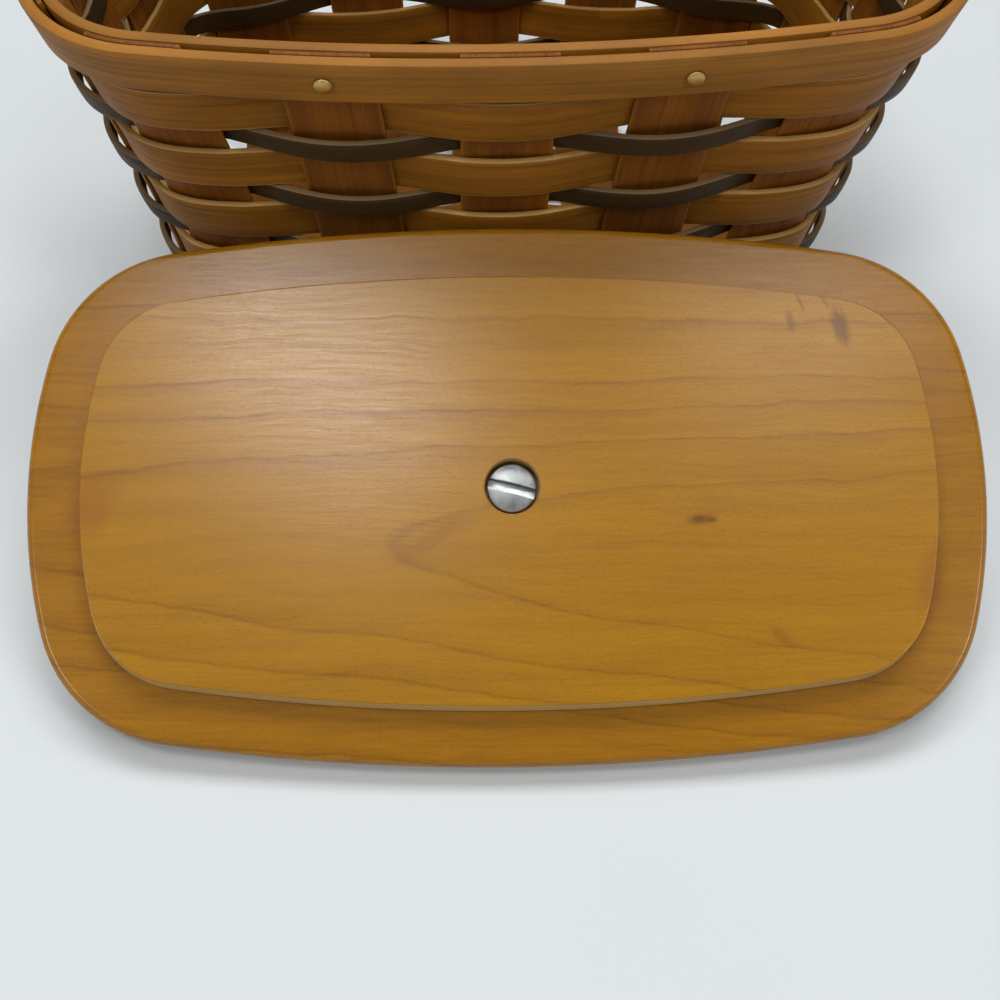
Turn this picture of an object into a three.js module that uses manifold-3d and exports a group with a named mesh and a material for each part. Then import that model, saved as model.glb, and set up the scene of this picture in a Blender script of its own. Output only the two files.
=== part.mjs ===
// A lidded splint basket: an open woven basket, and its wooden lid lying underside up in front of it.
// Millimetres, +Z up. The origin is the middle of the basket's foot, and the lid lies towards -Y.
import * as THREE from 'three';
import { mergeVertices } from 'three/addons/utils/BufferGeometryUtils.js';
import Module from 'manifold-3d';

// Fit of one piece against the next.
const CLEARANCE = 0.3;

// Lid board: one board with a routed ledge around a raised panel.
const LID_LENGTH = 240;
const LID_WIDTH = 136;
const LEDGE_WIDTH = 13.5;
const LEDGE_THICKNESS = 9.5;
const PANEL_STEP = 6;
const LID_EDGE_ROUND = 2;
const PANEL_EDGE_ROUND = 1.5;
const LID_STATIONS = 80;

// The outline of lid and basket: long side arc, end arc and corner arc, at the lid's edge.
const SIDE_RADIUS = 575;
const END_RADIUS = 138;
const CORNER_RADIUS = 37;

// Screw and knob on the lid's centre line.
const SCREW_HEAD_DIAMETER = 12;
const SCREW_HEAD_HEIGHT = 3;
const SCREW_HEAD_CHAMFER = 0.5;
const SCREW_RECESS = 2.5;
const SCREW_SHANK_DIAMETER = 4.8;
const SCREW_GRIP = 18;
const SLOT_WIDTH = 2.4;
const SLOT_DEPTH = 1.2;
const SLOT_TURN = -14;
const COUNTERBORE_DIAMETER = 13.6;
const KNOB_HEIGHT = 30;
const KNOB_BALL_RADIUS = 14;
const KNOB_FOOT_RADIUS = 8.5;
const KNOB_FOOT_HEIGHT = 3;

// Where the lid lies in front of the basket.
const LID_CENTRE_X = -1.3;
const LID_GAP = 0.5;
const LID_YAW = -1.85;

// Basket body, measured on the middle of the splint wall.
const BASKET_HEIGHT = 119;
const RIM_OVERHANG = 2;
const BASE_INSET_X = 20.5;
const BASE_INSET_Y = 9.9;
const FLARE_POWER = 1.5;
const BASE_BEND = 5;

// Splints: five run front to back and three end to end, and each turns up into two uprights.
const SPLINT_WIDTH = 22.5;
const SPLINT_THICKNESS = 1.2;
const FRONT_STEP = 0.069;
const END_STEP = 0.05;
const WALL_STATIONS = 6;
const BEND_STATIONS = 4;

// Weavers: broad plain rows and narrow dyed rows, in turn.
const BROAD_ROWS = 5;
const FIRST_ROW = 15.2;
const NARROW_SHARE = 0.5;
const ROW_GAP = 0.7;
const WEAVER_THICKNESS = 1.6;
const WEAVER_BOW = 0.5;
const NARROW_SWELL = 1.3;

// Rim: a broad band outside and inside the splint ends, held with tacks.
const BAND_HEIGHT = 12;
const BAND_THICKNESS = 3;
const TACK_HEAD_RADIUS = 2.2;
const TACK_HEAD_HEIGHT = 0.9;
const TACK_SHANK_RADIUS = 0.7;

const wasm = await Module();
wasm.setup();

// Worked out from the driving sizes.
const lidHalfLength = LID_LENGTH / 2;
const lidHalfWidth = LID_WIDTH / 2;
const wallHalf = SPLINT_THICKNESS / 2;
const rimBuild = wallHalf + CLEARANCE + BAND_THICKNESS;
const rimHalfLength = lidHalfLength - RIM_OVERHANG - rimBuild;
const rimHalfWidth = lidHalfWidth - RIM_OVERHANG - rimBuild;
const bandFoot = BASKET_HEIGHT - BAND_HEIGHT;
const wovenHeight = bandFoot - FIRST_ROW - (2 * BROAD_ROWS - 1) * ROW_GAP;
const broadWidth = wovenHeight / (BROAD_ROWS + (BROAD_ROWS - 1) * NARROW_SHARE);
const narrowWidth = broadWidth * NARROW_SHARE;
const rowPitch = broadWidth + narrowWidth + 2 * ROW_GAP;

const maple = { color: 0xc98d45, roughness: 0.5, metalness: 0 };
const splintWood = { color: 0xb9783a, roughness: 0.6, metalness: 0 };
const broadWood = { color: 0xb06f31, roughness: 0.6, metalness: 0 };
const dyedWood = { color: 0x4a4a2e, roughness: 0.65, metalness: 0 };
const bandWood = { color: 0xb5742f, roughness: 0.55, metalness: 0 };
const steel = { color: 0x9fa3a6, roughness: 0.3, metalness: 1 };
const brass = { color: 0xa98447, roughness: 0.35, metalness: 1 };

// One quarter of the outline as three arcs that meet tangentially: side, corner and end.
function quarterArcs(halfLength, halfWidth, sideRadius, endRadius, cornerRadius) {
  const endCentre = new THREE.Vector2(halfLength - endRadius, 0);
  const sideCentre = new THREE.Vector2(0, halfWidth - sideRadius);
  const span = sideCentre.clone().sub(endCentre);
  const distance = span.length();
  const toEnd = endRadius - cornerRadius;
  const toSide = sideRadius - cornerRadius;
  const along = (distance ** 2 + toEnd ** 2 - toSide ** 2) / (2 * distance);
  const across = Math.sqrt(Math.max(toEnd ** 2 - along ** 2, 0));
  const unit = span.divideScalar(distance);
  const foot = endCentre.clone().addScaledVector(unit, along);
  const corner = new THREE.Vector2(foot.x - unit.y * across, foot.y + unit.x * across);
  const other = new THREE.Vector2(foot.x + unit.y * across, foot.y - unit.x * across);
  const cornerCentre = corner.x + corner.y > other.x + other.y ? corner : other;
  const sideTurn = cornerCentre.clone().sub(sideCentre).angle();
  const endTurn = cornerCentre.clone().sub(endCentre).angle();
  return [
    { centre: sideCentre, radius: sideRadius, from: Math.PI / 2, to: sideTurn },
    { centre: cornerCentre, radius: cornerRadius, from: sideTurn, to: endTurn },
    { centre: endCentre, radius: endRadius, from: endTurn, to: 0 },
  ];
}

// Point and outward direction on a closed outline. Share 0 is the front middle, and it grows towards +X.
function outlineAt(arcs, share) {
  const turn = ((share % 1) + 1) % 1;
  const quarter = Math.floor(turn * 4);
  const part = turn * 4 - quarter;
  const total = arcs.reduce((sum, arc) => sum + arc.radius * Math.abs(arc.to - arc.from), 0);
  let left = (quarter % 2 === 0 ? part : 1 - part) * total;
  let angle = 0;
  let chosen = arcs[arcs.length - 1];
  for (const arc of arcs) {
    const length = arc.radius * Math.abs(arc.to - arc.from);
    chosen = arc;
    if (left <= length) break;
    if (arc !== arcs[arcs.length - 1]) left -= length;
  }
  angle = chosen.from + Math.sign(chosen.to - chosen.from) * (left / chosen.radius);
  const signX = quarter === 0 || quarter === 1 ? 1 : -1;
  const signY = quarter === 0 || quarter === 3 ? -1 : 1;
  const normal = new THREE.Vector2(Math.cos(angle) * signX, Math.sin(angle) * signY);
  const point = new THREE.Vector2(
    signX * (chosen.centre.x + chosen.radius * Math.cos(angle)),
    signY * (chosen.centre.y + chosen.radius * Math.sin(angle)),
  );
  return { point, normal };
}

function outlineLength(arcs) {
  return 4 * arcs.reduce((sum, arc) => sum + arc.radius * Math.abs(arc.to - arc.from), 0);
}

// The basket wall's half length and half width at a height: it narrows towards the foot.
function wallHalves(height) {
  const rise = Math.min(Math.max(height / BASKET_HEIGHT, 0), 1) ** FLARE_POWER;
  const halfLength = rimHalfLength - BASE_INSET_X * (1 - rise);
  const halfWidth = rimHalfWidth - BASE_INSET_Y * (1 - rise);
  return { halfLength, halfWidth };
}

// The wall's outline at a height. Its sides and corners grow rounder as it narrows.
function wallArcs(height) {
  const { halfLength, halfWidth } = wallHalves(height);
  const lengthScale = halfLength / lidHalfLength;
  const widthScale = halfWidth / lidHalfWidth;
  const side = SIDE_RADIUS * lengthScale ** 2;
  const corner = CORNER_RADIUS * widthScale ** 2;
  return quarterArcs(halfLength, halfWidth, side, END_RADIUS * widthScale, corner);
}

function wallPoint(share, height, offset = 0) {
  const { point, normal } = outlineAt(wallArcs(height), share);
  return new THREE.Vector3(point.x + normal.x * offset, point.y + normal.y * offset, height);
}

// Half a splint's width as a share of the outline at a height.
function halfShare(height) {
  return SPLINT_WIDTH / 2 / outlineLength(wallArcs(height));
}

// Shares of the sixteen uprights, from the front middle round by the right end.
const uprightShares = [];
for (let quarter = 0; quarter < 4; quarter += 1) {
  const steps = [0, FRONT_STEP, 2 * FRONT_STEP, 0.25 - END_STEP];
  const mirrored = [0, END_STEP, 0.25 - 2 * FRONT_STEP, 0.25 - FRONT_STEP];
  const chosen = quarter % 2 === 0 ? steps : mirrored;
  chosen.forEach((step) => uprightShares.push(quarter * 0.25 + step));
}

// A closed solid from rows of points: the first row joins the last, and so do the first and last columns.
function closedGrid(rows) {
  const columns = rows[0].length;
  const positions = rows.flat().flatMap((point) => [point.x, point.y, point.z]);
  const index = [];
  for (let row = 0; row < rows.length; row += 1) {
    const next = (row + 1) % rows.length;
    for (let column = 0; column < columns; column += 1) {
      const right = (column + 1) % columns;
      const a = row * columns + column;
      const b = row * columns + right;
      const c = next * columns + right;
      const d = next * columns + column;
      index.push(a, b, c, a, c, d);
    }
  }
  return indexedGeometry(positions, index);
}

// Six times the volume inside a closed surface: negative where its faces point inwards.
function signedVolume(positions, index) {
  const corner = (place) => new THREE.Vector3().fromArray(positions, 3 * index[place]);
  let sum = 0;
  for (let place = 0; place < index.length; place += 3) {
    sum += corner(place).dot(corner(place + 1).cross(corner(place + 2)));
  }
  return sum;
}

function indexedGeometry(positions, index) {
  const geometry = new THREE.BufferGeometry();
  if (signedVolume(positions, index) < 0) index.reverse();
  geometry.setAttribute('position', new THREE.Float32BufferAttribute(positions, 3));
  geometry.setIndex(index);
  return geometry;
}

// A strip of even thickness on a grid of middle points, given as stations of rails.
// A closed strip joins its last station to its first, and an open one has square ends.
function stripSolid(stations, thickness, closed, flat = () => false) {
  const count = stations.length;
  const rails = stations[0].length;
  const sections = stations.map((rail, station) => {
    const before = stations[closed ? (station - 1 + count) % count : Math.max(station - 1, 0)];
    const after = stations[closed ? (station + 1) % count : Math.min(station + 1, count - 1)];
    const outer = [];
    const inner = [];
    rail.forEach((point, k) => {
      const along = after[k].clone().sub(before[k]);
      const across = rail[Math.min(k + 1, rails - 1)].clone().sub(rail[Math.max(k - 1, 0)]);
      const normal = along.cross(across).normalize();
      if (flat(station)) normal.set(0, 0, Math.sign(normal.z));
      outer.push(point.clone().addScaledVector(normal, thickness / 2));
      inner.unshift(point.clone().addScaledVector(normal, -thickness / 2));
    });
    return outer.concat(inner);
  });
  if (closed) return closedGrid(sections);
  const around = rails * 2;
  const positions = sections.flat().flatMap((point) => [point.x, point.y, point.z]);
  const index = [];
  for (let station = 0; station < count - 1; station += 1) {
    for (let k = 0; k < around; k += 1) {
      const a = station * around + k;
      const b = station * around + ((k + 1) % around);
      index.push(a, b, b + around, a, b + around, a + around);
    }
  }
  const last = (count - 1) * around;
  for (let k = 0; k < rails - 1; k += 1) {
    const mirror = around - 1 - k;
    index.push(k, mirror, k + 1, k + 1, mirror, mirror - 1);
    index.push(last + k, last + k + 1, last + mirror, last + k + 1, last + mirror - 1, last + mirror);
  }
  return indexedGeometry(positions, index);
}

// Turns a geometry into a closed solid for cutting, with its faces pointing out.
function toSolid(geometry) {
  const bare = geometry.clone();
  bare.deleteAttribute('normal');
  bare.deleteAttribute('uv');
  const merged = mergeVertices(bare, 1e-4);
  const vertProperties = new Float32Array(merged.attributes.position.array);
  const triVerts = new Uint32Array(merged.index.array);
  return new wasm.Manifold(new wasm.Mesh({ numProp: 3, vertProperties, triVerts }));
}

function cutAway(geometry, cutters) {
  let solid = toSolid(geometry);
  for (const cutter of cutters) solid = solid.subtract(toSolid(cutter));
  const mesh = solid.getMesh();
  return indexedGeometry(Array.from(mesh.vertProperties), Array.from(mesh.triVerts));
}

const group = new THREE.Group();
const basket = new THREE.Group();
const lid = new THREE.Group();
group.add(basket);
group.add(lid);

function addPiece(parent, name, geometry, look) {
  const flatShaded = geometry.index ? geometry.toNonIndexed() : geometry;
  flatShaded.computeVertexNormals();
  const mesh = new THREE.Mesh(flatShaded, new THREE.MeshStandardMaterial(look));
  mesh.name = name;
  parent.add(mesh);
}

// Tacks sit on every second upright, and their holes go through both bands and the splint.
const tackHeight = bandFoot + BAND_HEIGHT / 2;
const tackSeats = uprightShares.filter((share, number) => number % 2 === 1).map((share) => {
  const { normal } = outlineAt(wallArcs(tackHeight), share);
  const up = wallPoint(share, BASKET_HEIGHT).sub(wallPoint(share, bandFoot)).normalize();
  const side = new THREE.Vector3(normal.x, normal.y, 0).cross(up).normalize();
  const out = up.clone().cross(side);
  const seat = new THREE.Matrix4().makeBasis(side, out, up);
  return seat.setPosition(wallPoint(share, tackHeight));
});
const tackHoles = tackSeats.map((seat) => {
  const radius = TACK_SHANK_RADIUS + CLEARANCE;
  const hole = new THREE.CylinderGeometry(radius, radius, 6 * BAND_THICKNESS, 8);
  return hole.applyMatrix4(seat);
});

// Base crossings: the strips change between a low and a high level so that they pass over and under.
const lowLevel = SPLINT_THICKNESS / 2;
const highLevel = lowLevel + SPLINT_THICKNESS + CLEARANCE;
const bendTop = BASE_BEND + highLevel;
const crossPairs = [[14, 10], [15, 9], [0, 8], [1, 7], [2, 6]];
const longPairs = [[13, 3], [12, 4], [11, 5]];

function placeInBase(pair, axis) {
  return wallPoint(uprightShares[pair[0]], bendTop)[axis];
}

const crossPlaces = crossPairs.map((pair) => placeInBase(pair, 'x'));
const longPlaces = longPairs.map((pair) => placeInBase(pair, 'y'));

// The middle grid of one splint: down the first wall, across the base and up the second wall.
function splintGrid(pair, runsAlong, place, crossings, isLow) {
  const sideways = runsAlong === 'y' ? 'x' : 'y';
  const order = [-1, 0, 1];
  const halfStrip = SPLINT_WIDTH / 2;
  const wallTop = BASKET_HEIGHT - CLEARANCE;
  const climb = (upright, level, inward) => {
    const share = uprightShares[upright];
    const nearby = wallPoint(share + 0.001, bendTop)[sideways];
    const widthSign = Math.sign(nearby - wallPoint(share, bendTop)[sideways]);
    const rail = (k, height) => wallPoint(share + k * widthSign * halfShare(height), height);
    const stations = [];
    for (let step = 0; step < WALL_STATIONS; step += 1) {
      const height = wallTop + (bendTop - wallTop) * (step / (WALL_STATIONS - 1));
      stations.push(order.map((k) => rail(k, height)));
    }
    const reach = Math.min(...order.map((k) => Math.abs(rail(k, bendTop)[runsAlong]))) - BASE_BEND;
    for (let step = 1; step <= BEND_STATIONS; step += 1) {
      const t = step / BEND_STATIONS;
      stations.push(order.map((k) => {
        const top = rail(k, bendTop);
        const low = rail(k, bendTop - 1).sub(top).multiplyScalar(bendTop - level).add(top);
        const end = new THREE.Vector3(0, 0, level);
        end[sideways] = place + k * halfStrip;
        end[runsAlong] = inward * reach;
        const curve = new THREE.QuadraticBezierCurve3(top, low, end);
        return curve.getPoint(t);
      }));
    }
    return stations;
  };
  const levels = crossings.map((crossing, number) => (isLow(number) ? lowLevel : highLevel));
  const firstSign = Math.sign(wallPoint(uprightShares[pair[0]], bendTop)[runsAlong]);
  const first = climb(pair[0], levels[0], firstSign);
  const second = climb(pair[1], levels[levels.length - 1], -firstSign).reverse();
  const base = [];
  const margin = halfStrip + CLEARANCE;
  crossings.forEach((crossing, number) => {
    const towards = -firstSign;
    const starts = number === 0 ? [] : [crossing - towards * margin];
    const stops = number === crossings.length - 1 ? [] : [crossing + towards * margin];
    for (const spot of [...starts, ...stops]) {
      base.push(order.map((k) => {
        const point = new THREE.Vector3(0, 0, levels[number]);
        point[sideways] = place + k * halfStrip;
        point[runsAlong] = spot;
        return point;
      }));
    }
  });
  const stations = [...first, ...base, ...second];
  const flatFrom = first.length - 1;
  const flatTo = first.length + base.length;
  return { stations, flat: (station) => station >= flatFrom && station <= flatTo };
}

function addSplint(name, pair, runsAlong, place, crossings, isLow) {
  const firstSign = Math.sign(wallPoint(uprightShares[pair[0]], bendTop)[runsAlong]);
  const ordered = [...crossings].sort((a, b) => firstSign * (b - a));
  const lowAt = (number) => isLow(crossings.indexOf(ordered[number]));
  const { stations, flat } = splintGrid(pair, runsAlong, place, ordered, lowAt);
  let geometry = stripSolid(stations, SPLINT_THICKNESS, false, flat);
  const odd = pair.filter((upright) => upright % 2 === 1);
  const cutters = odd.map((upright) => tackHoles[(upright - 1) / 2]);
  if (cutters.length > 0) geometry = cutAway(geometry, cutters);
  addPiece(basket, name, geometry, splintWood);
}

crossPairs.forEach((pair, number) => {
  const isLow = (row) => (number + row) % 2 === 1;
  addSplint(`cross_splint_${number + 1}`, pair, 'y', crossPlaces[number], longPlaces, isLow);
});
longPairs.forEach((pair, row) => {
  const isLow = (number) => (number + row) % 2 === 0;
  addSplint(`long_splint_${row + 1}`, pair, 'x', longPlaces[row], crossPlaces, isLow);
});

// Stations round the wall: both edges and the middle of each upright, and the middle of each space.
function ringShares(height) {
  const shares = [];
  uprightShares.forEach((share, number) => {
    const next = number + 1 < uprightShares.length ? uprightShares[number + 1] : 1;
    const half = halfShare(height);
    shares.push(share - half, share, share + half, (share + next) / 2);
  });
  return shares;
}

// A weaver ring that swings outside every second upright and inside the others.
// A narrow one swells out more where the uprights stand further apart.
const edgeOffset = SPLINT_THICKNESS / 2 + WEAVER_THICKNESS / 2 + CLEARANCE + 0.15;
const weaverSteps = [-1, -0.5, 0, 0.5, 1];

function addWeaver(name, foot, width, swell, outsideEven, look) {
  const half = halfShare(foot + width / 2);
  const rail = (share, offset) => [wallPoint(share, foot, offset), wallPoint(share, foot + width, offset)];
  const last = uprightShares.length - 1;
  const stations = [];
  uprightShares.forEach((share, number) => {
    const side = (number % 2 === 0) === outsideEven ? 1 : -1;
    const before = number > 0 ? uprightShares[number - 1] : uprightShares[last] - 1;
    const after = number < last ? uprightShares[number + 1] : 1;
    const room = (after - before) / 2 - 2 * half;
    const peak = edgeOffset + WEAVER_BOW + (swell * room) / (FRONT_STEP - 2 * half);
    weaverSteps.forEach((step) => {
      const spacing = step < 0 ? share - before : after - share;
      const swing = peak * Math.cos((Math.PI * Math.abs(step) * half) / spacing);
      stations.push(rail(share + step * half, side * Math.max(swing, edgeOffset)));
    });
    stations.push(rail((share + after) / 2, 0));
  });
  addPiece(basket, name, stripSolid(stations, WEAVER_THICKNESS, true), look);
}

for (let row = 0; row < BROAD_ROWS; row += 1) {
  const foot = FIRST_ROW + row * rowPitch;
  addWeaver(`broad_weaver_${row + 1}`, foot, broadWidth, 0, true, broadWood);
  if (row < BROAD_ROWS - 1) {
    const narrowFoot = foot + broadWidth + ROW_GAP;
    addWeaver(`narrow_weaver_${row + 1}`, narrowFoot, narrowWidth, NARROW_SWELL, false, dyedWood);
  }
}

// The two rim bands, with the tack holes cut through.
function addBand(name, offset) {
  const stations = ringShares(BASKET_HEIGHT).map((share) => [
    wallPoint(share, bandFoot, offset),
    wallPoint(share, BASKET_HEIGHT, offset),
  ]);
  const band = stripSolid(stations, BAND_THICKNESS, true);
  addPiece(basket, name, cutAway(band, tackHoles), bandWood);
}

const bandOffset = wallHalf + CLEARANCE + BAND_THICKNESS / 2;
addBand('rim_band_outer', bandOffset);
addBand('rim_band_inner', -bandOffset);

// Domed tacks: the shank goes from under the head to near the inner face of the inner band.
tackSeats.forEach((seat, number) => {
  const headSeat = wallHalf + CLEARANCE + BAND_THICKNESS + CLEARANCE;
  const tip = -(wallHalf + BAND_THICKNESS / 2);
  const profile = [
    new THREE.Vector2(0, tip),
    new THREE.Vector2(TACK_SHANK_RADIUS, tip + 1),
    new THREE.Vector2(TACK_SHANK_RADIUS, headSeat),
    new THREE.Vector2(TACK_HEAD_RADIUS, headSeat),
    new THREE.Vector2(TACK_HEAD_RADIUS * 0.75, headSeat + TACK_HEAD_HEIGHT * 0.7),
    new THREE.Vector2(0, headSeat + TACK_HEAD_HEIGHT),
  ];
  const tack = new THREE.LatheGeometry(profile, 8);
  tack.applyMatrix4(seat);
  addPiece(basket, `rim_tack_${number + 1}`, toClosed(tack), brass);
});

// Merges a turned piece's seam and poles so that it is one closed surface.
function toClosed(geometry) {
  const mesh = toSolid(geometry).getMesh();
  return indexedGeometry(Array.from(mesh.vertProperties), Array.from(mesh.triVerts));
}

// Lid board, underside up: the ledge is at height 0, the panel stands above it and the top face is below.
const lidArcs = quarterArcs(lidHalfLength, lidHalfWidth, SIDE_RADIUS, END_RADIUS, CORNER_RADIUS);

function lidRing(inset, height) {
  const ring = [];
  for (let station = 0; station < LID_STATIONS; station += 1) {
    const { point, normal } = outlineAt(lidArcs, station / LID_STATIONS);
    ring.push(new THREE.Vector3(point.x - normal.x * inset, point.y - normal.y * inset, height));
  }
  return ring;
}

function boreRing(radius, height) {
  const ring = [];
  for (let station = 0; station < LID_STATIONS; station += 1) {
    const angle = -Math.PI / 2 + (2 * Math.PI * station) / LID_STATIONS;
    ring.push(new THREE.Vector3(radius * Math.cos(angle), radius * Math.sin(angle), height));
  }
  return ring;
}

// Insets and heights of a rounded outer edge, from the face below to the face above.
function roundedEdge(inset, bottom, top, lowRound, highRound) {
  const soft = 1 - Math.SQRT1_2;
  const rings = [];
  if (lowRound > 0) {
    rings.push(lidRing(inset + lowRound, bottom));
    rings.push(lidRing(inset + lowRound * soft, bottom + lowRound * soft));
  }
  rings.push(lidRing(inset, bottom + lowRound));
  rings.push(lidRing(inset, top - highRound));
  rings.push(lidRing(inset + highRound * soft, top - highRound * soft));
  rings.push(lidRing(inset + highRound, top));
  return rings;
}

const headTop = PANEL_STEP - SCREW_RECESS;
const headFoot = headTop - SCREW_HEAD_HEIGHT;
const boreFloor = headFoot - CLEARANCE;
const boreRadius = COUNTERBORE_DIAMETER / 2;
const shankHole = SCREW_SHANK_DIAMETER / 2 + CLEARANCE;
const boardRings = [
  ...roundedEdge(0, -LEDGE_THICKNESS, 0, LID_EDGE_ROUND, LID_EDGE_ROUND),
  ...roundedEdge(LEDGE_WIDTH, 0, PANEL_STEP, 0, PANEL_EDGE_ROUND),
  boreRing(boreRadius, PANEL_STEP),
  boreRing(boreRadius, boreFloor),
  boreRing(shankHole, boreFloor),
  boreRing(shankHole, -LEDGE_THICKNESS),
];
addPiece(lid, 'lid_board', closedGrid(boardRings), maple);

// Screw with a slotted cylinder head.
const headRadius = SCREW_HEAD_DIAMETER / 2;
const shankRadius = SCREW_SHANK_DIAMETER / 2;
const shankTip = -LEDGE_THICKNESS - SCREW_GRIP;
const screwProfile = [
  new THREE.Vector2(0, shankTip),
  new THREE.Vector2(shankRadius * 0.6, shankTip),
  new THREE.Vector2(shankRadius, shankTip + 2),
  new THREE.Vector2(shankRadius, headFoot),
  new THREE.Vector2(headRadius, headFoot),
  new THREE.Vector2(headRadius, headTop - SCREW_HEAD_CHAMFER),
  new THREE.Vector2(headRadius - SCREW_HEAD_CHAMFER, headTop),
  new THREE.Vector2(0, headTop),
];
const screwBlank = new THREE.LatheGeometry(screwProfile, 24).rotateX(Math.PI / 2);
const slot = new THREE.BoxGeometry(2 * SCREW_HEAD_DIAMETER, SLOT_WIDTH, 2 * SLOT_DEPTH);
slot.rotateZ(THREE.MathUtils.degToRad(SLOT_TURN));
slot.translate(0, 0, headTop);
addPiece(lid, 'knob_screw', cutAway(screwBlank, [slot]), steel);

// Turned ball knob on the lid's top face, bored for the screw.
const ballCentre = KNOB_HEIGHT - KNOB_BALL_RADIUS;
const meetHeight = ballCentre - Math.sqrt(KNOB_BALL_RADIUS ** 2 - KNOB_FOOT_RADIUS ** 2);
const footTop = Math.max(KNOB_FOOT_HEIGHT, meetHeight);
const startAngle = Math.asin((footTop - ballCentre) / KNOB_BALL_RADIUS);
const knobProfile = [
  new THREE.Vector2(0, SCREW_GRIP + 2),
  new THREE.Vector2(shankHole, SCREW_GRIP + 1),
  new THREE.Vector2(shankHole, CLEARANCE),
  new THREE.Vector2(KNOB_FOOT_RADIUS, CLEARANCE),
];
const ballSteps = 9;
for (let step = 0; step <= ballSteps; step += 1) {
  const angle = startAngle + (Math.PI / 2 - startAngle) * (step / ballSteps);
  const radius = step === ballSteps ? 0 : KNOB_BALL_RADIUS * Math.cos(angle);
  knobProfile.push(new THREE.Vector2(radius, ballCentre + KNOB_BALL_RADIUS * Math.sin(angle)));
}
const knob = new THREE.LatheGeometry(knobProfile, 24).rotateX(-Math.PI / 2);
knob.translate(0, 0, -LEDGE_THICKNESS);
addPiece(lid, 'lid_knob', toClosed(knob), maple);

// The lid lies on its front edge and its knob, so its slope follows from the knob's height.
const reach = lidHalfWidth - LID_EDGE_ROUND;
const drop = KNOB_HEIGHT - KNOB_BALL_RADIUS + LID_EDGE_ROUND;
const knobTurn = Math.asin((KNOB_BALL_RADIUS - LID_EDGE_ROUND) / Math.hypot(reach, drop));
const lidSlope = knobTurn + Math.atan2(drop, reach);
const lidRise = reach * Math.sin(lidSlope)
  + (LEDGE_THICKNESS - LID_EDGE_ROUND) * Math.cos(lidSlope) + LID_EDGE_ROUND;
// Its rear edge comes close to the broad weaver at the height where that edge stands.
const yaw = THREE.MathUtils.degToRad(LID_YAW);
const straightEdge = LEDGE_THICKNESS - LID_EDGE_ROUND;
const rearReach = lidHalfWidth * Math.cos(lidSlope) + straightEdge * Math.sin(lidSlope);
const rearHeight = lidRise + lidHalfWidth * Math.sin(lidSlope) - straightEdge * Math.cos(lidSlope);
const weaverReach = edgeOffset + WEAVER_BOW + WEAVER_THICKNESS / 2;
const standOff = wallHalves(rearHeight).halfWidth + weaverReach + LID_GAP;
const lidCentreY = -standOff - rearReach * Math.cos(yaw);
lid.rotation.set(lidSlope, 0, yaw, 'ZXY');
lid.position.set(LID_CENTRE_X, lidCentreY, lidRise);

export default group;
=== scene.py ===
"""A splint basket and its wooden lid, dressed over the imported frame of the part."""

import math

import bpy
import numpy as np
from mathutils import Euler, Matrix, Vector


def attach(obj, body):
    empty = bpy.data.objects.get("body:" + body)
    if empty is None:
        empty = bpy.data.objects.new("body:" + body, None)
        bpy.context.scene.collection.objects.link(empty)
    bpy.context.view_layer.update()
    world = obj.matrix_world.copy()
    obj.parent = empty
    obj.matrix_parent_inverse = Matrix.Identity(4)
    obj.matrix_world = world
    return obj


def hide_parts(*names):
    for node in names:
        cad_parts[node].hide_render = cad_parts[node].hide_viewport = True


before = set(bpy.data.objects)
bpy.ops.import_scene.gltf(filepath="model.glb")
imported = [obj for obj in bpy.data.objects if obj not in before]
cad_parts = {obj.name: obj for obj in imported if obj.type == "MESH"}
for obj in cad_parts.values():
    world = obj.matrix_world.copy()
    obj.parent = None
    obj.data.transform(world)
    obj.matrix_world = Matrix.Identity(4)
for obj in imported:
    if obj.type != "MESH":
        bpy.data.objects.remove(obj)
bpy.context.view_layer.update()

bl_info = {
    "name": "Lidded Splint Basket",
    "version": (1, 0, 0),
    "blender": (4, 5, 0),
    "location": "3D View > Sidebar > Basket",
    "description": "Builds a woven splint basket, its rim and its wooden lid",
    "category": "Add Mesh",
}

# Pairs of uprights that one splint joins under the base, counted round from the front middle.
CROSS_PAIRS = ((14, 10), (15, 9), (0, 8), (1, 7), (2, 6))
LONG_PAIRS = ((13, 3), (12, 4), (11, 5))

# Fineness of the bent strips: stations along a strip and rails across it.
WEAVER_STATIONS = 480
WEAVER_RAILS = 5
SPLINT_RAILS = 7
WALL_STATIONS = 40
BEND_STATIONS = 10
BASE_STATIONS = 90
BAND_STATIONS = 320
BAND_RAILS = 4
LID_EDGE_POINTS = 256
TURNED_SIDES = 64

# Small lengths of the strips: play in the weave, rounds of the edges, and the drift of hand-split
# edges and faces.
WEAVE_SLACK = 0.00015
SPLINT_EDGE = 0.00035
WEAVER_EDGE = 0.0003
BAND_EDGE = 0.0011
EDGE_DRIFT = 0.00022
FACE_DRIFT = 0.00012

# How softly a weaver swings past the uprights, in stations.
SWING_EASE = 1.6

# Steps along the outline and down the wall that show which way an upright faces and leans.
SHARE_STEP = 0.001
KNEE_STEP = 0.001

# First seeds of the drift in the broad and the narrow rows.
BROAD_SEED = 11
NARROW_SEED = 41

# Small lengths of the turned and cut pieces: rounds, points, the crown's last ring and flat steps.
BORE_LIP = 0.00025
KNOB_EASE = 0.0005
HEAD_EASE = 0.0002
SLOT_EASE = 0.0001
SCREW_POINT = 0.002
TACK_POINT = 0.001
TACK_STEP = 0.00005
CROWN_RADIUS = 0.0002
FLAT_STEP = 0.00001

# How far a cut reaches past the face that it opens.
OVERCUT = 0.002

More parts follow.
